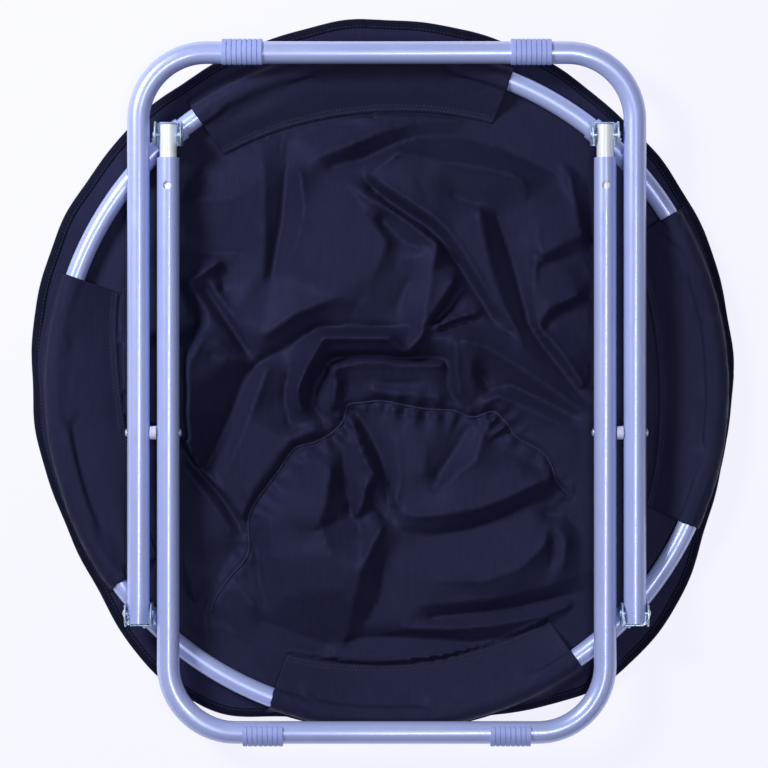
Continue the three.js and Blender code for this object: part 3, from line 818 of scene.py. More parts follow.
def make_cushion():
    """The padded seat: two cloth faces round a thin filling, drawn in along its seams, then puffed up."""
    count = 101
    unit, share, angle = disc_grid(count)
    radius = rim_radius(angle) - 1.6 * MM
    spots = unit * radius[:, None] + RIM_XY
    from_edge = (1 - share) * radius
    half = PAD_HALF * np.sqrt(np.clip(1 - np.clip(1 - from_edge / PAD_EDGE, 0, 1) ** 2, 0, 1))
    ring_distance = np.hypot(spots[:, 0], spots[:, 1])
    seams = np.exp(-(((from_edge - BINDING_WIDTH) / RIM_SEAM_WIDTH) ** 2))
    for place in PAD_SEAMS:
        seams = np.maximum(seams, np.exp(-(((ring_distance - place) / PAD_SEAM_WIDTH) ** 2)))
    half *= 1 - SEAM_PINCH * seams
    core = PAD_TOP / 2 - 0.1 * MM
    line = np.arange(count * count).reshape(count, count)
    border = np.zeros((count, count), bool)
    border[[0, -1], :] = border[:, [0, -1]] = True
    border = border.ravel()
    lower = np.where(border, line.ravel(), -1)
    extra = count * count
    lower[~border] = np.arange(extra, extra + (~border).sum())
    half[border] = 0
    top = np.column_stack([spots, core + half])
    bottom = np.column_stack([spots, core - half])[~border]
    faces = grid_faces(count, count)
    faces += [tuple(int(lower[i]) for i in reversed(face)) for face in faces]
    verts = np.vstack([top, bottom]).tolist()
    cushion = piece("seat_cushion", verts, faces, FACE_CLOTH, "seat_frame")
    held = np.where(border | (seams > 0.8), 1.0, 0.0)
    held = np.concatenate([held, held[~border]])

    def afterwards(start, end):
        reach = 4 * MM
        end = start + np.clip(end - start, -reach, reach)
        end[:, 2] = np.clip(end[:, 2], 0.0, PAD_TOP - 0.2 * MM)
        return end

    as_cloth(cushion, held, afterwards, bending=0.5, mass=0.05, pressure=4.0, shrink=-0.02, gravity=0.0)
    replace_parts(cushion, "seat_pad")
    return cushion


TAPE_HALF, TAPE_BULGE = 6 * MM, 8 * MM  # half the folded tape's height, and how far its edge curves back


def tape_section():
    """The folded tape's section as (distance past the rim, height): over the edge, and back inside itself."""
    inner = -BINDING_WIDTH
    section = [(inner, 10.9 * MM), (inner, 11.5 * MM), (inner + 1.2 * MM, 12.1 * MM)]
    for i in range(15):
        a = math.radians(100 - 200 * i / 14)
        across = math.cos(a) ** 0.8 if math.cos(a) > 0 else math.cos(a)
        section.append((-TAPE_BULGE + TAPE_BULGE * across, TAPE_HALF + TAPE_HALF * math.sin(a)))
    section += [(inner, 0.05 * MM), (inner, 0.6 * MM), (-9 * MM, 0.7 * MM)]
    for i in range(9):
        across, up = polar(1, math.radians(-80 + 160 * i / 8))
        section.append((-TAPE_BULGE + 6.6 * MM * across, TAPE_HALF + (TAPE_HALF - 1 * MM) * up))
    return [*section, (-9 * MM, 10.9 * MM)]


def make_binding():
    """The tape, puckered a little along its upper face, where it is sewn."""
    count = 720
    section = tape_section()
    verts = []
    for i in range(count):
        angle = 2 * math.pi * i / count
        edge = float(rim_radius(angle))
        pucker = 0.25 * MM * math.sin(97 * angle) + 0.18 * MM * math.sin(143 * angle + 1.3)
        for k, (inset, z) in enumerate(section):
            x, y = polar(edge + inset, angle)
            verts.append((RIM_CENTRE.x + x, RIM_CENTRE.y + y, z + (pucker if 2 <= k <= 9 else 0.0)))
    faces = grid_faces(count, len(section), wrap_rows=True, wrap_columns=True)
    binding = piece("rim_tape", verts, faces, BINDING, "seat_frame")
    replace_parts(binding, "rim_binding")
    return binding


# ---------------------------------------------------------------- the slack bowl behind the seat

# How the slack cloth lies: its seam, ridges and valleys as (x, y, height over the pad), in millimetres.
BOWL_SEAM = [
    (-198, -300, 5), (-199, -270, 7), (-194, -240, 8), (-176, -213, 9), (-155, -185, 10), (-153, -140, 11),
    (-120, -92, 13), (-103, -68, 14), (-80, -61, 13), (-60, -50, 12), (-48, -36, 10), (-44, -20, 11),
    (-28, -17, 12), (-5, -15, 13), (20, -20, 13), (45, -24, 12), (75, -26, 11), (92, -33, 9), (104, -32, 9),
    (120, -27, 10), (136, -42, 11), (146, -56, 11), (174, -72, 10), (185, -87, 9), (191, -106, 7),
    (205, -120, 6),
]  # fmt: skip
WALL_FOLDS = [
    # the wedge below the back sleeve's left end
    [(-215, 210, 13), (-170, 212, 15), (-150, 225, 14), (-137, 245, 12)],
    [(-140, 262, 9), (-136, 220, 14), (-136, 170, 13), (-138, 128, 10)],
    [(-55, 303, 3), (-85, 293, 3), (-112, 282, 3), (-112, 250, 2), (-116, 200, 2), (-130, 124, 3)],
    [(-97, 240, 18), (-92, 200, 20), (-100, 160, 17), (-120, 124, 9)],
    [(-200, 150, 7), (-165, 150, 8)],
    # the peak and the ridge that leaves it to the right
    [(-75, 258, 16), (-40, 272, 17), (-5, 287, 14), (35, 298, 9), (80, 298, 7)],
    [(-62, 248, 9), (-25, 257, 5), (5, 270, 4), (40, 281, 3), (85, 281, 3), (130, 268, 4), (190, 240, 5)],
    [(-20, 236, 17), (-5, 250, 20), (12, 263, 23), (40, 256, 21), (70, 251, 20), (110, 245, 20),
     (140, 238, 19), (152, 228, 17), (158, 208, 12)],
    [(12, 263, 23), (30, 240, 21), (45, 212, 19)],
    [(75, 215, 12), (100, 205, 11)],
    # the long crease across the wall
    [(-40, 227, 16), (-24, 214, 21), (-3, 203, 22), (20, 188, 21), (42, 171, 21), (57, 160, 22)],
    [(-24, 234, 11), (-14, 222, 8), (0, 210, 5), (25, 193, 4), (45, 181, 3), (59, 168, 3), (73, 150, 3),
     (89, 128, 3), (105, 102, 4), (120, 76, 7)],
    [(-18, 237, 18), (0, 223, 22), (30, 204, 23), (53, 189, 23), (68, 174, 22), (84, 151, 21),
     (101, 123, 20), (116, 98, 17), (125, 80, 13)],
    # facets under the crease
    [(-40, 227, 16), (-22, 195, 20), (0, 162, 21), (-8, 140, 20), (-18, 110, 17), (-40, 82, 12)],
    [(-6, 188, 12), (14, 166, 12), (34, 158, 14)],
    [(57, 160, 22), (30, 145, 17), (10, 140, 15)],
    [(57, 160, 22), (50, 125, 22), (44, 90, 24), (41, 62, 28)],
    [(25, 120, 12), (12, 90, 10)],
    [(74, 118, 20), (58, 92, 21), (43, 66, 25)],
    [(80, 110, 8), (66, 86, 8), (52, 72, 12)],
    [(43, 66, 25), (70, 75, 20), (100, 84, 15)],
    [(62, 64, 13), (85, 74, 11), (104, 76, 9)],
    [(50, 56, 22), (75, 62, 20), (104, 66, 14), (140, 62, 12)],
    # the wide valley down the right
    [(104, 198, 18), (110, 160, 20), (120, 122, 19), (132, 88, 17), (150, 52, 15), (178, 16, 13),
     (208, -14, 10)],
    [(124, 192, 6), (138, 152, 3), (149, 115, 2), (160, 76, 2), (185, 36, 2), (212, 2, 3), (226, -14, 3)],
    [(165, 190, 13), (170, 160, 16), (164, 110, 15), (166, 78, 14), (180, 56, 15), (200, 32, 15),
     (218, 4, 11)],
    [(172, 148, 18), (195, 161, 17), (220, 172, 13)],
    [(170, 134, 12), (195, 143, 10), (220, 153, 8)],
    [(168, 66, 15), (182, 90, 18), (214, 104, 14)],
    [(178, 68, 10), (194, 82, 9), (218, 92, 7)],
    [(205, 235, 12), (212, 200, 14), (214, 185, 14)],
    [(226, 245, 3), (229, 200, 2), (230, 120, 2), (229, 50, 2), (230, 10, 2)],
    # the box fold above the seam
    [(-135, 60, 18), (-100, 84, 22), (-60, 100, 20), (-25, 94, 16)],
    [(-162, 8, 3), (-148, 24, 4), (-124, 38, 5), (-100, 52, 6), (-76, 66, 7), (-40, 68, 8), (0, 66, 10),
     (26, 68, 13)],
    [(-70, 57, 36), (-35, 57, 36), (2, 56, 36), (22, 38, 27), (40, 62, 29)],
    [(-70, 57, 36), (-88, 25, 31), (-99, 0, 28), (-98, -20, 24), (-86, -38, 17)],
    [(-60, 40, 25), (-10, 40, 25), (10, 38, 24)],
    [(-62, 31, 14), (-45, 35, 13), (0, 35, 13), (25, 33, 12), (62, 32, 12)],
    [(-60, 21, 24), (-40, 27, 23), (-18, 31, 24), (22, 27, 21), (64, 26, 20)],
    [(-68, 22, 13), (-80, 2, 12), (-84, -18, 12), (-72, -34, 12)],
    [(-60, 21, 24), (-56, 4, 23), (-58, -14, 20), (-66, -30, 15)],
    [(-48, 5, 13), (-49, -12, 12)],
    [(-25, 8, 18), (10, 2, 15), (45, 6, 17)],
    [(-15, -4, 19), (30, -8, 19), (60, -12, 17)],
    # to the right of the box fold
    [(76, 50, 27), (77, 20, 23), (80, -5, 18), (93, -26, 11)],
    [(67, 30, 12), (68, 5, 12), (80, -18, 10)],
    [(88, 52, 27), (94, 28, 22), (97, 8, 18), (100, -18, 12)],
    [(88, 52, 27), (110, 46, 24), (140, 28, 21), (170, 8, 18), (200, -12, 13), (222, -27, 9)],
    [(106, 14, 9), (114, -6, 9), (140, 2, 9), (175, -14, 8), (212, -34, 6)],
    [(103, -27, 10), (112, -15, 17), (124, -8, 20), (145, -17, 18), (172, -30, 16), (206, -46, 11)],
    [(130, -30, 13), (160, -50, 12), (195, -75, 9), (215, -90, 7)],
    # the left of the wall
    [(-222, 118, 17), (-205, 128, 19), (-190, 138, 17)],
    [(-186, 132, 7), (-184, 108, 6)],
    [(-222, 118, 17), (-200, 85, 18), (-176, 55, 16), (-153, 28, 9)],
    [(-204, 112, 9), (-180, 76, 8), (-158, 42, 6)],
    [(-194, 115, 14), (-172, 80, 15), (-147, 34, 9)],
    [(-233, 110, 3), (-224, 88, 3), (-216, 70, 4)],
    [(-232, 262, 2), (-214, 245, 3), (-206, 228, 9)],
    [(-206, 55, 27), (-218, 30, 33), (-223, 0, 37), (-225, -30, 36), (-222, -60, 30), (-214, -88, 15)],
    [(-206, 55, 27), (-185, 48, 24), (-167, 32, 16), (-153, 26, 8)],
    [(-195, 35, 22), (-180, 30, 20)],
    [(-150, 22, 4), (-160, 5, 3), (-172, -25, 3), (-188, -60, 3), (-203, -92, 4)],
    [(-134, 22, 14), (-142, -2, 17), (-154, -35, 17), (-172, -80, 16), (-188, -108, 13)],
    [(-108, 22, 8), (-114, -10, 7), (-108, -40, 8)],
    [(-80, -47, 19), (-106, -56, 19), (-126, -80, 18), (-150, -114, 17), (-162, -142, 14)],
    [(-228, -66, 12), (-215, -88, 6), (-200, -105, 5), (-182, -126, 5), (-168, -150, 5), (-160, -165, 7)],
    [(-226, -88, 14), (-206, -114, 14), (-188, -138, 13), (-174, -162, 11)],
    [(-204, -94, 12), (-186, -114, 14), (-168, -138, 13)],
    [(-225, -130, 11), (-228, -190, 9), (-216, -235, 8)],
    [(-172, -185, 4), (-190, -212, 4), (-206, -242, 3)],
]  # fmt: skip
BASE_FOLDS = [
    [(-148, -170, 7), (-144, -210, 7), (-136, -240, 8)],
    [(-130, -150, 16), (-125, -190, 16)],
    [(-96, -84, 20), (-78, -80, 20), (-62, -92, 22), (-68, -130, 24), (-76, -152, 23), (-62, -185, 25),
     (-56, -225, 24)],
    [(-50, -62, 12), (-48, -98, 9), (-40, -138, 8)],
    [(-38, -40, 15), (-31, -62, 20), (-22, -84, 21), (-13, -96, 19)],
    [(-36, -30, 7), (-22, -48, 5), (-8, -75, 4), (1, -105, 4), (5, -136, 8)],
    [(-13, -96, 19), (-24, -116, 20), (-32, -140, 18)],
    [(-17, -114, 10), (-14, -134, 8), (-2, -147, 8)],
    [(-76, -160, 19), (-60, -151, 15), (-45, -147, 12), (-32, -148, 11), (-30, -162, 13)],
    [(-6, -155, 24), (-17, -176, 27), (-28, -200, 28), (-37, -236, 23), (-46, -284, 8)],
    [(0, -190, 15), (-8, -235, 13), (-26, -268, 9)],
    [(10, -60, 15), (14, -100, 16), (8, -130, 17)],
    [(20, -141, 20), (40, -143, 23), (70, -140, 24), (105, -133, 24), (138, -120, 23), (166, -106, 21),
     (182, -99, 16)],
    [(15, -160, 15), (50, -166, 12), (90, -160, 11), (130, -147, 11), (162, -131, 10), (184, -124, 7)],
    [(30, -60, 16), (45, -70, 16), (42, -95, 17)],
    [(52, -112, 13), (60, -96, 9), (75, -74, 8), (92, -44, 7)],
    [(60, -114, 18), (78, -96, 21), (100, -80, 21), (108, -52, 16)],
    [(118, -60, 11), (140, -74, 11), (168, -88, 9)],
    [(120, -95, 18), (150, -92, 17)],
    [(60, -215, 19), (110, -215, 22), (150, -200, 23), (176, -175, 20), (182, -155, 14)],
    [(172, -134, 9), (180, -144, 5), (200, -143, 5), (214, -158, 5)],
    [(184, -196, 12), (186, -172, 11)],
    [(196, -200, 15), (200, -172, 15), (192, -156, 13)],
    [(40, -244, 16), (120, -236, 17), (180, -222, 14), (214, -212, 9)],
    [(50, -258, 9), (100, -253, 8), (150, -246, 6), (208, -233, 4)],
    [(20, -268, 14), (70, -270, 14), (120, -266, 13), (170, -257, 11), (204, -246, 8)],
    [(-44, -285, 5), (-20, -281, 4), (20, -281, 4), (60, -283, 4), (95, -287, 4), (140, -280, 5)],
    [(-60, -300, 9), (0, -302, 10), (60, -301, 9), (125, -292, 8)],
    [(-112, -232, 15), (-82, -254, 13), (-60, -268, 12), (-46, -284, 8)],
    [(-140, -262, 6), (-100, -276, 6), (-66, -288, 5)],
    [(-182, -262, 5), (-164, -284, 4)],
    [(-165, -225, 11), (-150, -245, 11)],
]  # fmt: skip


def smooth_line(points, step):
    """Points a step apart on a smooth curve through the given ones."""
    points = [np.array(p, float) for p in points]
    ends = [2 * points[0] - points[1], *points, 2 * points[-1] - points[-2]]
    curve = []
    for a, b, c, d in zip(ends, ends[1:], ends[2:], ends[3:]):
        count = max(1, round(float(np.linalg.norm(c - b)) / step))
        for i in range(count):
            t = i / count
            squared, cubed = (2 * a - 5 * b + 4 * c - d) * t**2, (3 * b - a - 3 * c + d) * t**3
            curve.append(0.5 * (2 * b + (c - a) * t + squared + cubed))
    curve.append(points[-1])
    return np.array(curve)


FLAT_RINGS = (  # the cloth outside its folds, as circles: radius, height in millimetres, points
    (SEAM_RADIUS + 2 * MM, 2.0, 96),
    (SEAM_RADIUS + 30 * MM, 0.3, 96),
    (0.42, 0.2, 48),
)


def surface_through(folds):
    """A triangulated surface through the folds, flat outside the sleeves' seam, to look heights up on."""
    spots, heights, lines = [], [], []
    for fold in folds:
        first = len(spots)
        for x, y, height in fold:
            spots.append(Vector((x * MM, y * MM)))
            heights.append(max(0.5, FOLD_MIDDLE + (height - FOLD_MIDDLE) * FOLD_DEPTH) * MM)
        lines += [(i, i + 1) for i in range(first, len(spots) - 1)]
    for radius, height, count in FLAT_RINGS:
        first = len(spots)
        spots += [Vector(spot) for spot in circle(radius, count)]
        heights += [height * MM] * count
        lines += [(first + i, first + (i + 1) % count) for i in range(count)]
    out_spots, _, triangles, from_spots, _, _ = delaunay_2d_cdt(spots, lines, [], 0, 1e-6)
    places = []
    for spot, sources in zip(out_spots, from_spots):
        if sources:
            height = heights[sources[0]]
        else:  # two folds cross here
            crossing = []
            for a, b in lines:
                along = (spots[b] - spots[a]).normalized()
                share = (spot - spots[a]).dot(along) / (spots[b] - spots[a]).length
                if 0 <= share <= 1 and abs((spot - spots[a]).cross(along)) < 1e-5:
                    crossing.append(heights[a] + (heights[b] - heights[a]) * share)
            height = sum(crossing) / len(crossing)
        places.append((spot.x, spot.y, height))
    return BVHTree.FromPolygons([Vector(p) for p in places], triangles)


FOLD_WIDTH = 2.2 * MM


def nearness(folds, spots):
    """How near each spot is to a fold: 1 on it, fading to 0 a few millimetres away."""
    marks = []
    for fold in folds:
        for a, b in zip(fold, fold[1:]):
            a, b = Vector(a[:2]) * MM, Vector(b[:2]) * MM
            steps = int((b - a).length / (1.5 * MM)) + 1
            marks += [a.lerp(b, k / steps) for k in range(steps + 1)]
    tree = KDTree(len(marks))
    for k, mark in enumerate(marks):
        tree.insert((mark.x, mark.y, 0), k)
    tree.balance()
    distances = np.array([tree.find((x, y, 0))[2] for x, y in spots])
    return np.exp(-((distances / FOLD_WIDTH) ** 2))


def eased(values, count, passes, hold):
    """Evens out values on a square grid, as taut cloth is between its folds. hold, 0 to 1, keeps a value."""
    start = values.reshape(count, count)
    grid = start.copy()
    hold = np.broadcast_to(hold, values.shape).reshape(count, count)
    for _ in range(passes):
        around = np.pad(grid, 1, mode="edge")
        around = (around[:-2, 1:-1] + around[2:, 1:-1] + around[1:-1, :-2] + around[1:-1, 2:]) / 4
        grid = start * hold + (grid + around) / 2 * (1 - hold)
    return grid.ravel()


PUCKER, PUCKER_PITCH, PUCKER_REACH = 4.6 * MM, 19 * MM, 17 * MM


def gathers(spots, seam):
    """Small puckers where the base panel is gathered into its seam, and each spot's distance from it."""
    along = np.concatenate([[0], np.cumsum(np.linalg.norm(np.diff(seam[:, :2], axis=0), axis=1))])
    distances = np.linalg.norm(spots[:, None, :] - seam[None, :, :2], axis=2)
    nearest = distances.argmin(axis=1)
    distance = distances.min(axis=1)
    place = along[nearest]
    in_the_arch = np.clip((seam[nearest, 1] + 95 * MM) / (60 * MM), 0.25, 1)
    below = np.where(spots[:, 1] < seam[nearest, 1], 1.0, 0.35)
    wave = np.sin(place * 2 * math.pi / PUCKER_PITCH + 1.9 * np.sin(place * 37))
    wave *= 0.65 + 0.35 * np.sin(place * 61 + 1)
    rising = np.clip(distance / (4 * MM), 0, 1)
    fading = np.exp(-((distance / PUCKER_REACH) ** 2))
    return PUCKER * wave * rising * fading * in_the_arch * below, distance


BOWL_FLOOR = PAD_TOP + 0.1 * MM
LEGS_FROM, UNDER_LEGS = 223 * MM, PAD_TOP + 27 * MM  # where the legs begin, and the height free below them


def make_bowl():
    """The slack cloth of the bowl, in its folds between the seat and the legs."""
    count = 201
    unit, share, angle = disc_grid(count)
    spread = np.interp(share, (0, 0.9, 1), (0, 0.84, 1))  # finer where the cloth is slack than under the ring
    direction = unit / np.maximum(share, 1e-9)[:, None]
    spots = direction * (spread * (rim_radius(angle) - 3 * MM))[:, None] + RIM_XY * share[:, None] ** 2
    folds = [BOWL_SEAM, *WALL_FOLDS, *BASE_FOLDS]
    surface = surface_through(folds)
    heights = np.array([surface.ray_cast(Vector((x, y, 1)), Vector((0, 0, -1)))[0].z for x, y in spots])
    ring_distance = np.hypot(spots[:, 0], spots[:, 1])
    sewn = (ring_distance > SEAM_RADIUS + 2 * MM).astype(float)
    heights = eased(heights, count, 14, np.maximum(nearness(folds, spots), sewn))
    heights = eased(heights, count, 1, sewn)
    seam = smooth_line([(x * MM, y * MM, h * MM) for x, y, h in BOWL_SEAM], 2 * MM)
    puckers, to_seam = gathers(spots, seam)
    heights += puckers * (ring_distance < SEAM_RADIUS - 8 * MM)
    heights -= 2.2 * MM * np.exp(-((to_seam / (3 * MM)) ** 2))
    heights = np.where(under_sleeves(spots), np.minimum(heights, 1.0 * MM), heights)
    heights = np.maximum(heights, 0.1 * MM)
    verts = np.column_stack([spots, BOWL_FLOOR + heights]).tolist()
    bowl = piece("bowl_cloth", verts, grid_faces(count, count), CLOTH, "seat_frame")
    held = np.where(ring_distance > SEAM_RADIUS + 4 * MM, 1.0, BOWL_HOLD)
    held = np.where((to_seam < 3 * MM) & (ring_distance < SEAM_RADIUS), 0.7, held)

    def afterwards(start, end):
        reach = 8 * MM
        end = start + np.clip(end - start, -reach, reach)
        softer = eased(end[:, 2], count, 3, sewn)
        height = np.maximum(end[:, 2] + FOLD_CRISPNESS * (end[:, 2] - softer), BOWL_FLOOR)
        height = np.where(under_sleeves(end), np.minimum(height, BOWL_FLOOR + 1.2 * MM), height)
        end[:, 2] = np.where(np.abs(end[:, 0]) > LEGS_FROM, np.minimum(height, UNDER_LEGS), height)
        return end

    as_cloth(bowl, held, afterwards)
    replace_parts(bowl, "bowl_lining", "bowl_base")
    return bowl, seam


PIPING_RADIUS, PIPING_LIFT = 1.1 * MM, 0.7 * MM


def make_seam_cord(bowl, seam):
    """The piping sewn in between the bowl's wall and its base, on the settled cloth."""
    inside = [spot for spot in seam[:, :2] if math.hypot(*spot) <= SEAM_RADIUS - 1 * MM]
    points = np.array(on_surface(bowl, inside))
    for _ in range(2):
        points[1:-1] = (points[:-2] + 2 * points[1:-1] + points[2:]) / 4
    sides, last = 10, len(points) - 1
    verts = []
    for i, point in enumerate(points):
        ahead = Vector(points[min(i + 1, last)] - points[max(i - 1, 0)]).normalized()
        side = ahead.cross(Vector((0, 0, 1))).normalized()
        up = side.cross(ahead)
        end = 0.15 if i in (0, last) else 1.0
        thick = PIPING_RADIUS * end * (1 + 0.12 * math.sin(i * 1.9) + 0.08 * math.sin(i * 0.7))
        for k in range(sides):
            a = 2 * math.pi * k / sides
            spoke = (side * math.cos(a) + up * math.sin(a)) * thick
            verts.append(Vector(point) + Vector((0, 0, PIPING_LIFT)) + spoke)
    faces = grid_faces(len(points), sides, wrap_columns=True)
    faces.append(tuple(reversed(range(sides))))
    faces.append(tuple(last * sides + k for k in range(sides)))
    return piece("bowl_piping", verts, faces, PIPING_PAINTED_HIGHLIGHT, "seat_frame")


# ---------------------------------------------------------------- the sleeves round the ring

SLEEVES = {"back": (68, 125), "left": (160.5, 216.5), "front": (249.5, 305), "right": (-24.5, 31.5)}
SEAM_DIPS = {"back": 10 * MM, "left": 23 * MM, "front": 9 * MM, "right": 14 * MM}
SLEEVE_RADIUS = RING_TUBE + 0.9 * MM
SLEEVE_HOLD = 0.35  # how firmly a sleeve keeps its place between its seams


def sleeve_seam(name, share):
    """How far from the ring's centre a sleeve's inner seam lies, a share of the way along it."""
    return SEAM_RADIUS + 4 * MM - SEAM_DIPS[name] * np.sin(math.pi * share)


def under_sleeves(spots):
    """Which spots lie outside the inner seam of a sleeve."""
    bearing = np.degrees(np.arctan2(spots[:, 1], spots[:, 0]))
    distance = np.hypot(spots[:, 0], spots[:, 1])
    under = np.zeros(len(spots), bool)
    for name, (start, end) in SLEEVES.items():
        share = ((bearing - start) % 360) / (end - start)
        under |= (share < 1) & (distance > sleeve_seam(name, np.minimum(share, 1)) - 9 * MM)
    return under


def sleeve_section(seam, foot):
    """A sleeve's section over the tube, seam to seam, as (distance from the ring's centre, height)."""
    start = np.array([seam, PAD_TOP + 2.2 * MM])
    tube = np.array([RING_RADIUS, RING_Z])
    gap = tube - start
    touch = math.atan2(-gap[1], -gap[0]) - math.acos(SLEEVE_RADIUS / float(np.linalg.norm(gap)))
    touch %= 2 * math.pi
    contact = tube + np.array(polar(SLEEVE_RADIUS, touch))
    points = [start - np.array([6 * MM, 0.3 * MM]), start]
    points += [start + (contact - start) * i / 11 for i in range(1, 11)]
    points += [tube + np.array(polar(SLEEVE_RADIUS, a)) for a in np.linspace(touch, -0.15, 13)]
    outer = np.array([foot, PAD_TOP + 1.3 * MM])
    points += [points[-1] + (outer - points[-1]) * i / 3 for i in (1, 2, 3)]
    points.append(outer + np.array([3 * MM, 0.05 * MM]))
    return np.array(points)


def rim_foot(angle):
    """How far from the ring's centre a sleeve's outer seam lies: at the binding, or just outside the tube."""
    along = float(np.array(polar(1, angle)) @ RIM_XY)
    reach = float(rim_radius(angle)) - BINDING_WIDTH - 0.5 * MM
    distance = along + math.sqrt(reach**2 - (float(RIM_XY @ RIM_XY) - along**2))
    tube = RING_RADIUS + RING_TUBE
    return min(max(distance, tube + 2.5 * MM), tube + 9 * MM)


def make_sleeve(name, start, end, seed):
    """One sleeve, with a few long soft folds that run round it between its seams."""
    rows = round((end - start) * 1.25)
    draw = random.Random(seed)
    folds = []
    for _ in range(7):
        place, length = draw.uniform(0.1, 0.9), draw.uniform(0.12, 0.3)
        row, slant = draw.uniform(2.5, 9.5), draw.uniform(-5, 5)
        folds.append((place, length, row, slant, draw.uniform(0.8, 2.2) * MM, draw.choice((1, 1, -1))))
    verts, held = [], []
    for i in range(rows + 1):
        share = i / rows
        angle = math.radians(start + (end - start) * share)
        section = sleeve_section(float(sleeve_seam(name, share)), rim_foot(angle))
        last = len(section) - 1
        for k, (distance, height) in enumerate(section):
            lift = 0.0
            for place, length, row, slant, size, way in folds:
                across = (k - row - slant * (share - place)) / 1.7
                lift += way * size * math.exp(-(across**2)) * math.exp(-(((share - place) / length) ** 2))
            lift *= min(1.0, max(0.0, (k - 1) / 3)) * (1.0 if k < 11 else 0.3)
            verts.append((*polar(distance, angle), height + lift))
            held.append(1.0 if k <= 1 or k >= last - 1 else SLEEVE_HOLD)
    columns = len(section)
    faces = grid_faces(rows + 1, columns)
    sleeve = piece(f"ring_sleeve_{name}", verts, faces, CLOTH, "seat_frame")

    def afterwards(before, after):
        reach = 5 * MM
        after = before + np.clip(after - before, -reach, reach)
        away = np.hypot(after[:, 0], after[:, 1])
        offset = np.column_stack([away - RING_RADIUS, after[:, 2] - RING_Z])
        gap = np.maximum(np.linalg.norm(offset, axis=1), 1e-9)
        push = np.maximum(gap, RING_TUBE + 0.75 * MM) / gap
        after[:, :2] *= ((RING_RADIUS + offset[:, 0] * push) / away)[:, None]
        after[:, 2] = np.maximum(RING_Z + offset[:, 1] * push, PAD_TOP + 1.0 * MM)
        return after

    as_cloth(sleeve, held, afterwards)
    length = math.radians(end - start) * (SEAM_RADIUS + RING_RADIUS + RING_TUBE) / 2
    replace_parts(sleeve, f"sleeve_{name}")
    return sleeve


def make_seat():
    """The bowl and the sleeves, settled together on the ring's tube and the pad, and all their stitches."""
    tube = {"major_radius": RING_RADIUS, "minor_radius": RING_TUBE, "major_segments": 180}
    bpy.ops.mesh.primitive_torus_add(location=(0, 0, RING_Z), minor_segments=24, **tube)
    props = [collider(bpy.context.object)]
    disc = {"radius": SEAM_RADIUS + 20 * MM, "vertices": 64, "fill_type": "NGON"}
    bpy.ops.mesh.primitive_circle_add(location=(0, 0, PAD_TOP - 0.3 * MM), **disc)
    props.append(collider(bpy.context.object))
    bowl, seam = make_bowl()
    sleeves = [make_sleeve(name, *span, seed) for seed, (name, span) in enumerate(SLEEVES.items())]
    settle(SETTLING_FRAMES, props)
    finer(CUSHION)
    finer(bowl)
    for sleeve in sleeves:
        finer(sleeve, 0.8 * MM)
    make_stitches(sleeves, make_binding())
    make_seam_cord(bowl, seam)


# ---------------------------------------------------------------- stitches

STITCH, STITCH_GAP, THREAD_RADIUS = 2.8 * MM, 1.3 * MM, 0.36 * MM


def stitch_row(name, line):
    """A row of stitches along points that lie on the cloth: each a short thread whose ends dip into it."""
    line = np.asarray(line)
    steps = np.linalg.norm(np.diff(line, axis=0), axis=1)
    along = np.concatenate([[0], np.cumsum(steps)])
    verts, faces = [], []
    sides = 5
    for k in range(int(along[-1] / (STITCH + STITCH_GAP))):
        first = len(verts)
        for share in (0.0, 0.2, 0.5, 0.8, 1.0):
            place = k * (STITCH + STITCH_GAP) + share * STITCH
            spot = Vector([np.interp(place, along, line[:, axis]) for axis in range(3)])
            ahead = Vector([np.interp(place + 1 * MM, along, line[:, axis]) for axis in range(3)]) - spot
            side = ahead.cross(Vector((0, 0, 1))).normalized()
            spot.z += THREAD_RADIUS * (1.1 if 0 < share < 1 else -0.6)
            thick = THREAD_RADIUS * (1.0 if 0 < share < 1 else 0.5)
            for turn in range(sides):
                a = 2 * math.pi * turn / sides
                verts.append(spot + side * math.cos(a) * thick + Vector((0, 0, math.sin(a) * thick)))
        faces += [tuple(first + i for i in f) for f in grid_faces(5, sides, wrap_columns=True)]
        faces.append(tuple(first + i for i in reversed(range(sides))))
        faces.append(tuple(first + 4 * sides + i for i in range(sides)))
    return piece(name, verts, faces, THREAD, "seat_frame")


def on_surface(obj, spots):
    """The spots dropped from above onto an object, leaving out those that miss it."""
    surface = BVHTree.FromObject(obj, bpy.context.evaluated_depsgraph_get())
    hits = [surface.ray_cast(Vector((x, y, 0.2)), Vector((0, 0, -1)))[0] for x, y in spots]
    return [hit for hit in hits if hit is not None]


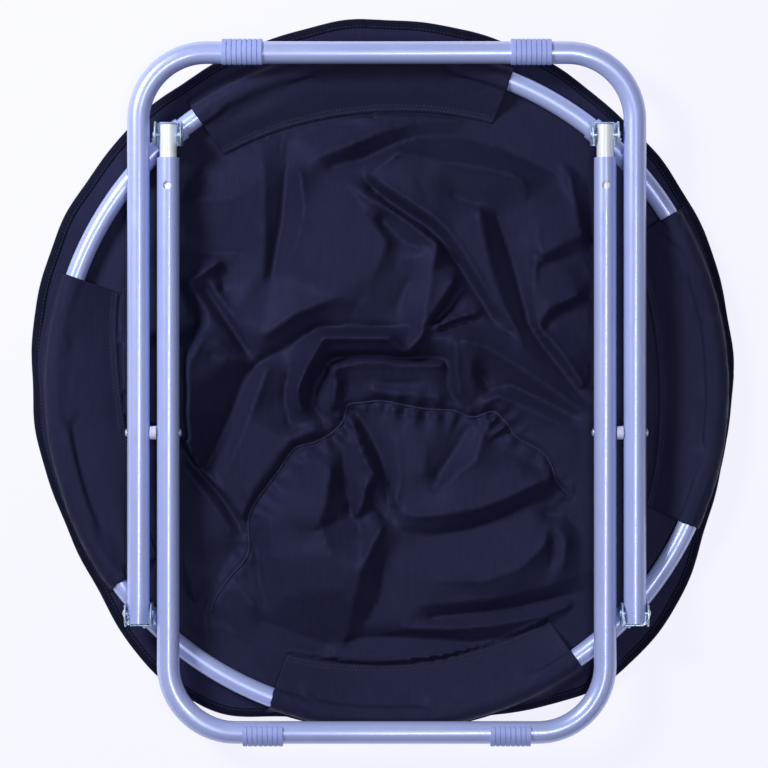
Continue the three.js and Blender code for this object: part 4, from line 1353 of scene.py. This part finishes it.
def make_stitches(sleeves, binding):
    """Two rows along each sleeve's inner seam, and one along the tape's inner edge."""
    for sleeve, (name, (start, end)) in zip(sleeves, SLEEVES.items()):
        for row, inset in enumerate((-3 * MM, 1.2 * MM)):
            spots = []
            for share in np.linspace(0.006, 0.994, 200):
                reach = float(sleeve_seam(name, share)) + inset
                spots.append(polar(reach, math.radians(start + (end - start) * share)))
            stitch_row(f"sleeve_stitches_{name}_{row + 1}", on_surface(sleeve, spots))
    spots = []
    for angle in np.linspace(0, 2 * math.pi, 900):
        x, y = polar(float(rim_radius(angle)) - BINDING_WIDTH + 2.2 * MM, angle)
        spots.append((RIM_CENTRE.x + x, RIM_CENTRE.y + y))
    stitch_row("rim_stitches", on_surface(binding, spots))


# ---------------------------------------------------------------- the camera, floor and lights


CAMERA_PLACE = (-0.003, 0.004, RING_Z + 2.867)  # as high as the photo's small perspective asks
CAMERA_LENS = 120
FLOOR_SIZE = 60
WORLD_COLOR, WORLD_STRENGTH = (0.9, 0.92, 1.0, 1), 0.04
SOFTBOXES = (  # name, place, size, watts, colour; each points at the frame's origin
    ("overhead", (0.35, -0.2, 3.2), (1.5, 0.2), 34, (0.95, 0.96, 1.0)),
    ("key", (-1.45, 1.05, 1.6), (0.6, 0.6), 44, (0.94, 0.96, 1.0)),
    ("fill", (2.2, -1.2, 1.8), (1.4, 1.4), 2, (0.94, 0.96, 1.0)),
)


def make_stage():
    scene = bpy.context.scene
    scene.view_settings.view_transform = "Standard"
    camera = bpy.data.objects.new("camera", bpy.data.cameras.new("camera"))
    scene.collection.objects.link(camera)
    camera.data.lens = CAMERA_LENS
    camera.location = CAMERA_PLACE
    scene.camera = camera

    bpy.ops.mesh.primitive_plane_add(size=FLOOR_SIZE, location=(0, 0, 0))
    floor = bpy.context.object
    floor.name = "floor"
    floor.data.materials.append(pale_floor())

    world = bpy.data.worlds.new("studio")
    scene.world = world
    world.use_nodes = True
    background = world.node_tree.nodes["Background"]
    background.inputs["Color"].default_value = WORLD_COLOR
    background.inputs["Strength"].default_value = WORLD_STRENGTH

    for name, place, size, watts, color in SOFTBOXES:
        light = bpy.data.objects.new(name, bpy.data.lights.new(name, "AREA"))
        scene.collection.objects.link(light)
        light.data.shape = "RECTANGLE"
        light.data.size, light.data.size_y = size
        light.data.energy = watts
        light.data.color = color
        light.location = place
        light.rotation_euler = (-Vector(place)).to_track_quat("-Z", "Y").to_euler()


make_stage()
make_tubes()
make_rivets()
make_feet()
CUSHION = make_cushion()
make_seat()
paint_kept_nodes()
